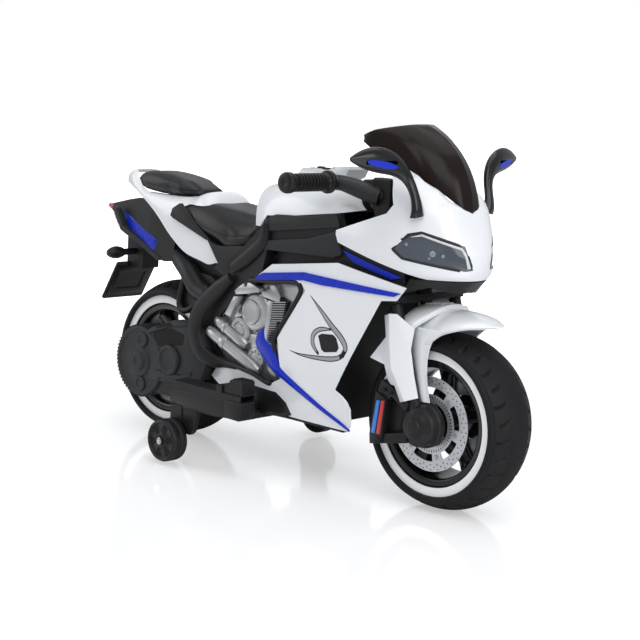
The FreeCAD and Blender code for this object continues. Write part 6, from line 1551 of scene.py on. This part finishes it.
def makeCases():
    y = case["face"]
    spots = [("drum", (wheels["rear"], wheels["axle"]), 96),
             *(("stud", spot, 40) for spot in case["studsAt"]), ("boss", case["bossAt"], 48)]
    knobs = [(case[name], (x, y, z), outRight, sides) for name, (x, z), sides in spots]
    panels = {key: [(outline, y - proud, depth) for outline, proud, depth in case[key]]
              for key in ("layers", "gaps")}
    drawPiece("gearCaseFaces", "greyMould", panels["layers"], knobs, bevel=1.2)
    # near black sheets in the case's gaps: painted recess shade
    drawPiece("gearCaseGapShade", "deepBlack", panels["gaps"])
    ring = repeatUnit(case["tooth"], ringTree, "greyMould", Count=case["teeth"],
                      Radius=case["teethAt"] * mm)
    placeMeshes("gearCaseTeeth", onBothSides(ring, wheels["rear"], case["teethProud"] - y, wheels["axle"]))


makeCases()

# feet: bevelled caps on the beams, bracket legs, pockets in the fairings and ridges
footBeams = {"paint": "satinBlack", "bevel": 2.0, "cuts": 3, "panels": [
    ([(-127, 118), (-129, 134), (-122, 141), (-60, 146), (24, 148.4), (64, 149), (67, 147), (67, 123),
      (63, 118), (0, 112), (-90, 110)], -191.5, 40),
    ([(26, 116), (26, 149.4), (68, 150), (70, 147), (70, 120), (66, 115)], -193, 36),
    ([(-106, 116), (-50, 121), (-56, 90), (-62, 70), (-70, 62), (-92, 62), (-104, 92)], -191, 12)]}
drawPiece("footBeams", **footBeams)


def proudFairing(lift):
    return lambda x, z: fairingFace(x, z) - lift


footPockets = {"paint": "satinBlack", "bevel": 1.8, "panels": [
    ([(16, 168), (84, 166), (98, 158), (110, 150), (122, 128), (96, 119), (16, 113)], proudFairing(1.6),
     14)]}
drawPiece("footPockets", **footPockets)
# a near black sheet inside each pocket: painted shade in the recess
footPocketShade = {"paint": "deepBlack", "bevel": 0.6, "panels": [
    ([(30, 160), (84, 158), (100, 146), (106, 132), (92, 126), (30, 122)], proudFairing(2.2), 4)]}
drawPiece("footPocketShade", **footPocketShade)
footRidge = {"unit": [[(-2, y, 0), (2, y, 0), (1.2, y, 3), (-1.2, y, 3)] for y in (-14, 14)], "count": 5,
             "first": (-46, 171, 146.6), "step": (9, 0, 0.5)}


def makeFootRidges():
    rows = repeatUnit(footRidge["unit"], lineTree, "satinBlack", Count=footRidge["count"],
                      Step=tuple(Vector(footRidge["step"]) * mm))
    x, y, z = Vector(footRidge["first"]) * mm
    placeMeshes("footRidges", [(rows, Matrix.Translation((x, side * y, z))) for side in (-1, 1)])


makeFootRidges()

# the throttle block stands on its hinged plate, with ridges across its top
pedalBlock = {"paint": "satinBlack", "body": "pedal", "bevel": 1.2, "mirror": False, "panels": [
    ([(6, 164), (6, 170), (26, 172), (30, 186), (34, 189), (62, 190), (65, 186), (65, 163)], -185.4, 31),
    *(([(x, 189), (x + 3.4, 189), (x + 2.8, 191), (x + 0.6, 191)], -183.4, 27) for x in range(36, 60, 7))]}
drawPiece("pedalBlock", **pedalBlock)

# training wheels: grooved treads, dished faces with six windows drawn as near black inserts, painted shade
# in the openings, and a centre screw
trainer = {"x": -110, "z": 48, "half": 212, "windowOut": 14.6, "windows": 6, "windowsAt": 23.5,
           "windowStart": 0.2, "profile": [(18, 5.6), (18, 12), (16.6, 14.4), (14.8, 15.4), (14.4, 32.6),
                                           (16.4, 33.4), (18, 34.4), (18, 36.2), (16.4, 39.4), (12.6, 41),
                                           (4, 41.4), (3, 39.8)],
           "window": [[(-8, -4, z), (6.4, -8.2, z), (8, -6, z), (8, 6, z), (6.4, 8.2, z), (-8, 4, z)]
                      for z in (-1, 0.25)],
           "screw": [(231.6, 6.8), (233.4, 6.8), (234.2, 5.8), (234.3, 4.0), (233.2, 3.4), (233.2, 0.3)]}


def makeTrainer(name, side, body, node):
    x, z = trainer["x"], trainer["z"]
    shape = bmesh.new()
    addTurned(shape, bothHalves(trainer["profile"]), (x, side * trainer["half"], z), (0, side, 0), 72,
              closed=True)
    closeShape(name, shape, "satinBlack", body, [node], bevel=0.4, cuts=1, mirror=False)
    windows = repeatUnit(trainer["window"], ringTree, "deepBlack", Count=trainer["windows"],
                         Radius=trainer["windowsAt"] * mm, Start=trainer["windowStart"])
    spots = [(side * trainer["half"] + way * trainer["windowOut"], way) for way in (side, -side)]
    placeMeshes(name + "Windows", [(windows, facing(x, y, z, way)) for y, way in spots], body)


makeTrainer("trainerRight", -1, "training_right", "training_wheel_right")
makeTrainer("trainerLeft", 1, "training_left", "training_wheel_left")
screwAt = (trainer["x"], 0, trainer["z"])
drawPiece("trainerScrews", "plainSteel", knobs=[(trainer["screw"], screwAt, outRight, 32)], slot="steel")
print("stage: cases, feet and training wheels")

# dash: a pale bevelled console with a hooded dial, a dark face and two small knobs
dashSteps = [(36, 120, 38, 555), (36, 120, 38, 571), (39, 118, 35.5, 579), (44, 114, 32, 584)]
dashBlock = [[(x0, -half, z), (x1, -half, z), (x1, half, z), (x0, half, z)]
             for x0, x1, half, z in dashSteps]
dashConsole = {
    "paint": "paleStrip", "standsFor": ["dash_panel"], "slot": "grey_plastic", "bevel": 1.6, "cuts": 3,
    "mirror": False, "blocks": [dashBlock],
    "panels": [([(106, 566), (106, 584.4), (126, 590), (152, 592.5), (158, 588), (150, 573), (130, 563)],
                -29, 58)]}
drawPiece("dashConsole", **dashConsole)
dashFace = {"paint": "satinBlack", "bevel": 0.4, "mirror": False, "panels": [
    ([(110, 586.1), (126, 590.6), (148, 592.9), (148, 591), (126, 588.6), (110, 584.1)], -23, 46)],
    "knobs": [([(584, 2.6), (584.9, 2.4), (585.1, 0.3)], (58, y, 0), upward, 20) for y in (-24, -17)]}
drawPiece("dashFace", **dashFace)
print("stage: dash")

# repaints: nodes whose photographed finish differs from their slot's usual one
# the rings take the brighter ring white, painted light against the shade under the body
repaints = {"mirror_arms": "glossBlack", "screws": "satinBlack", "power_button": "satinBlack",
            "horn_button": "satinBlack", "direction_rocker": "satinBlack", "front_rings": "litRingWhite",
            "rear_rings": "litRingWhite"}
for name, finish in repaints.items():
    for place in range(len(nodes[name].data.materials)):
        nodes[name].data.materials[place] = paints[finish]

print("stage: done")
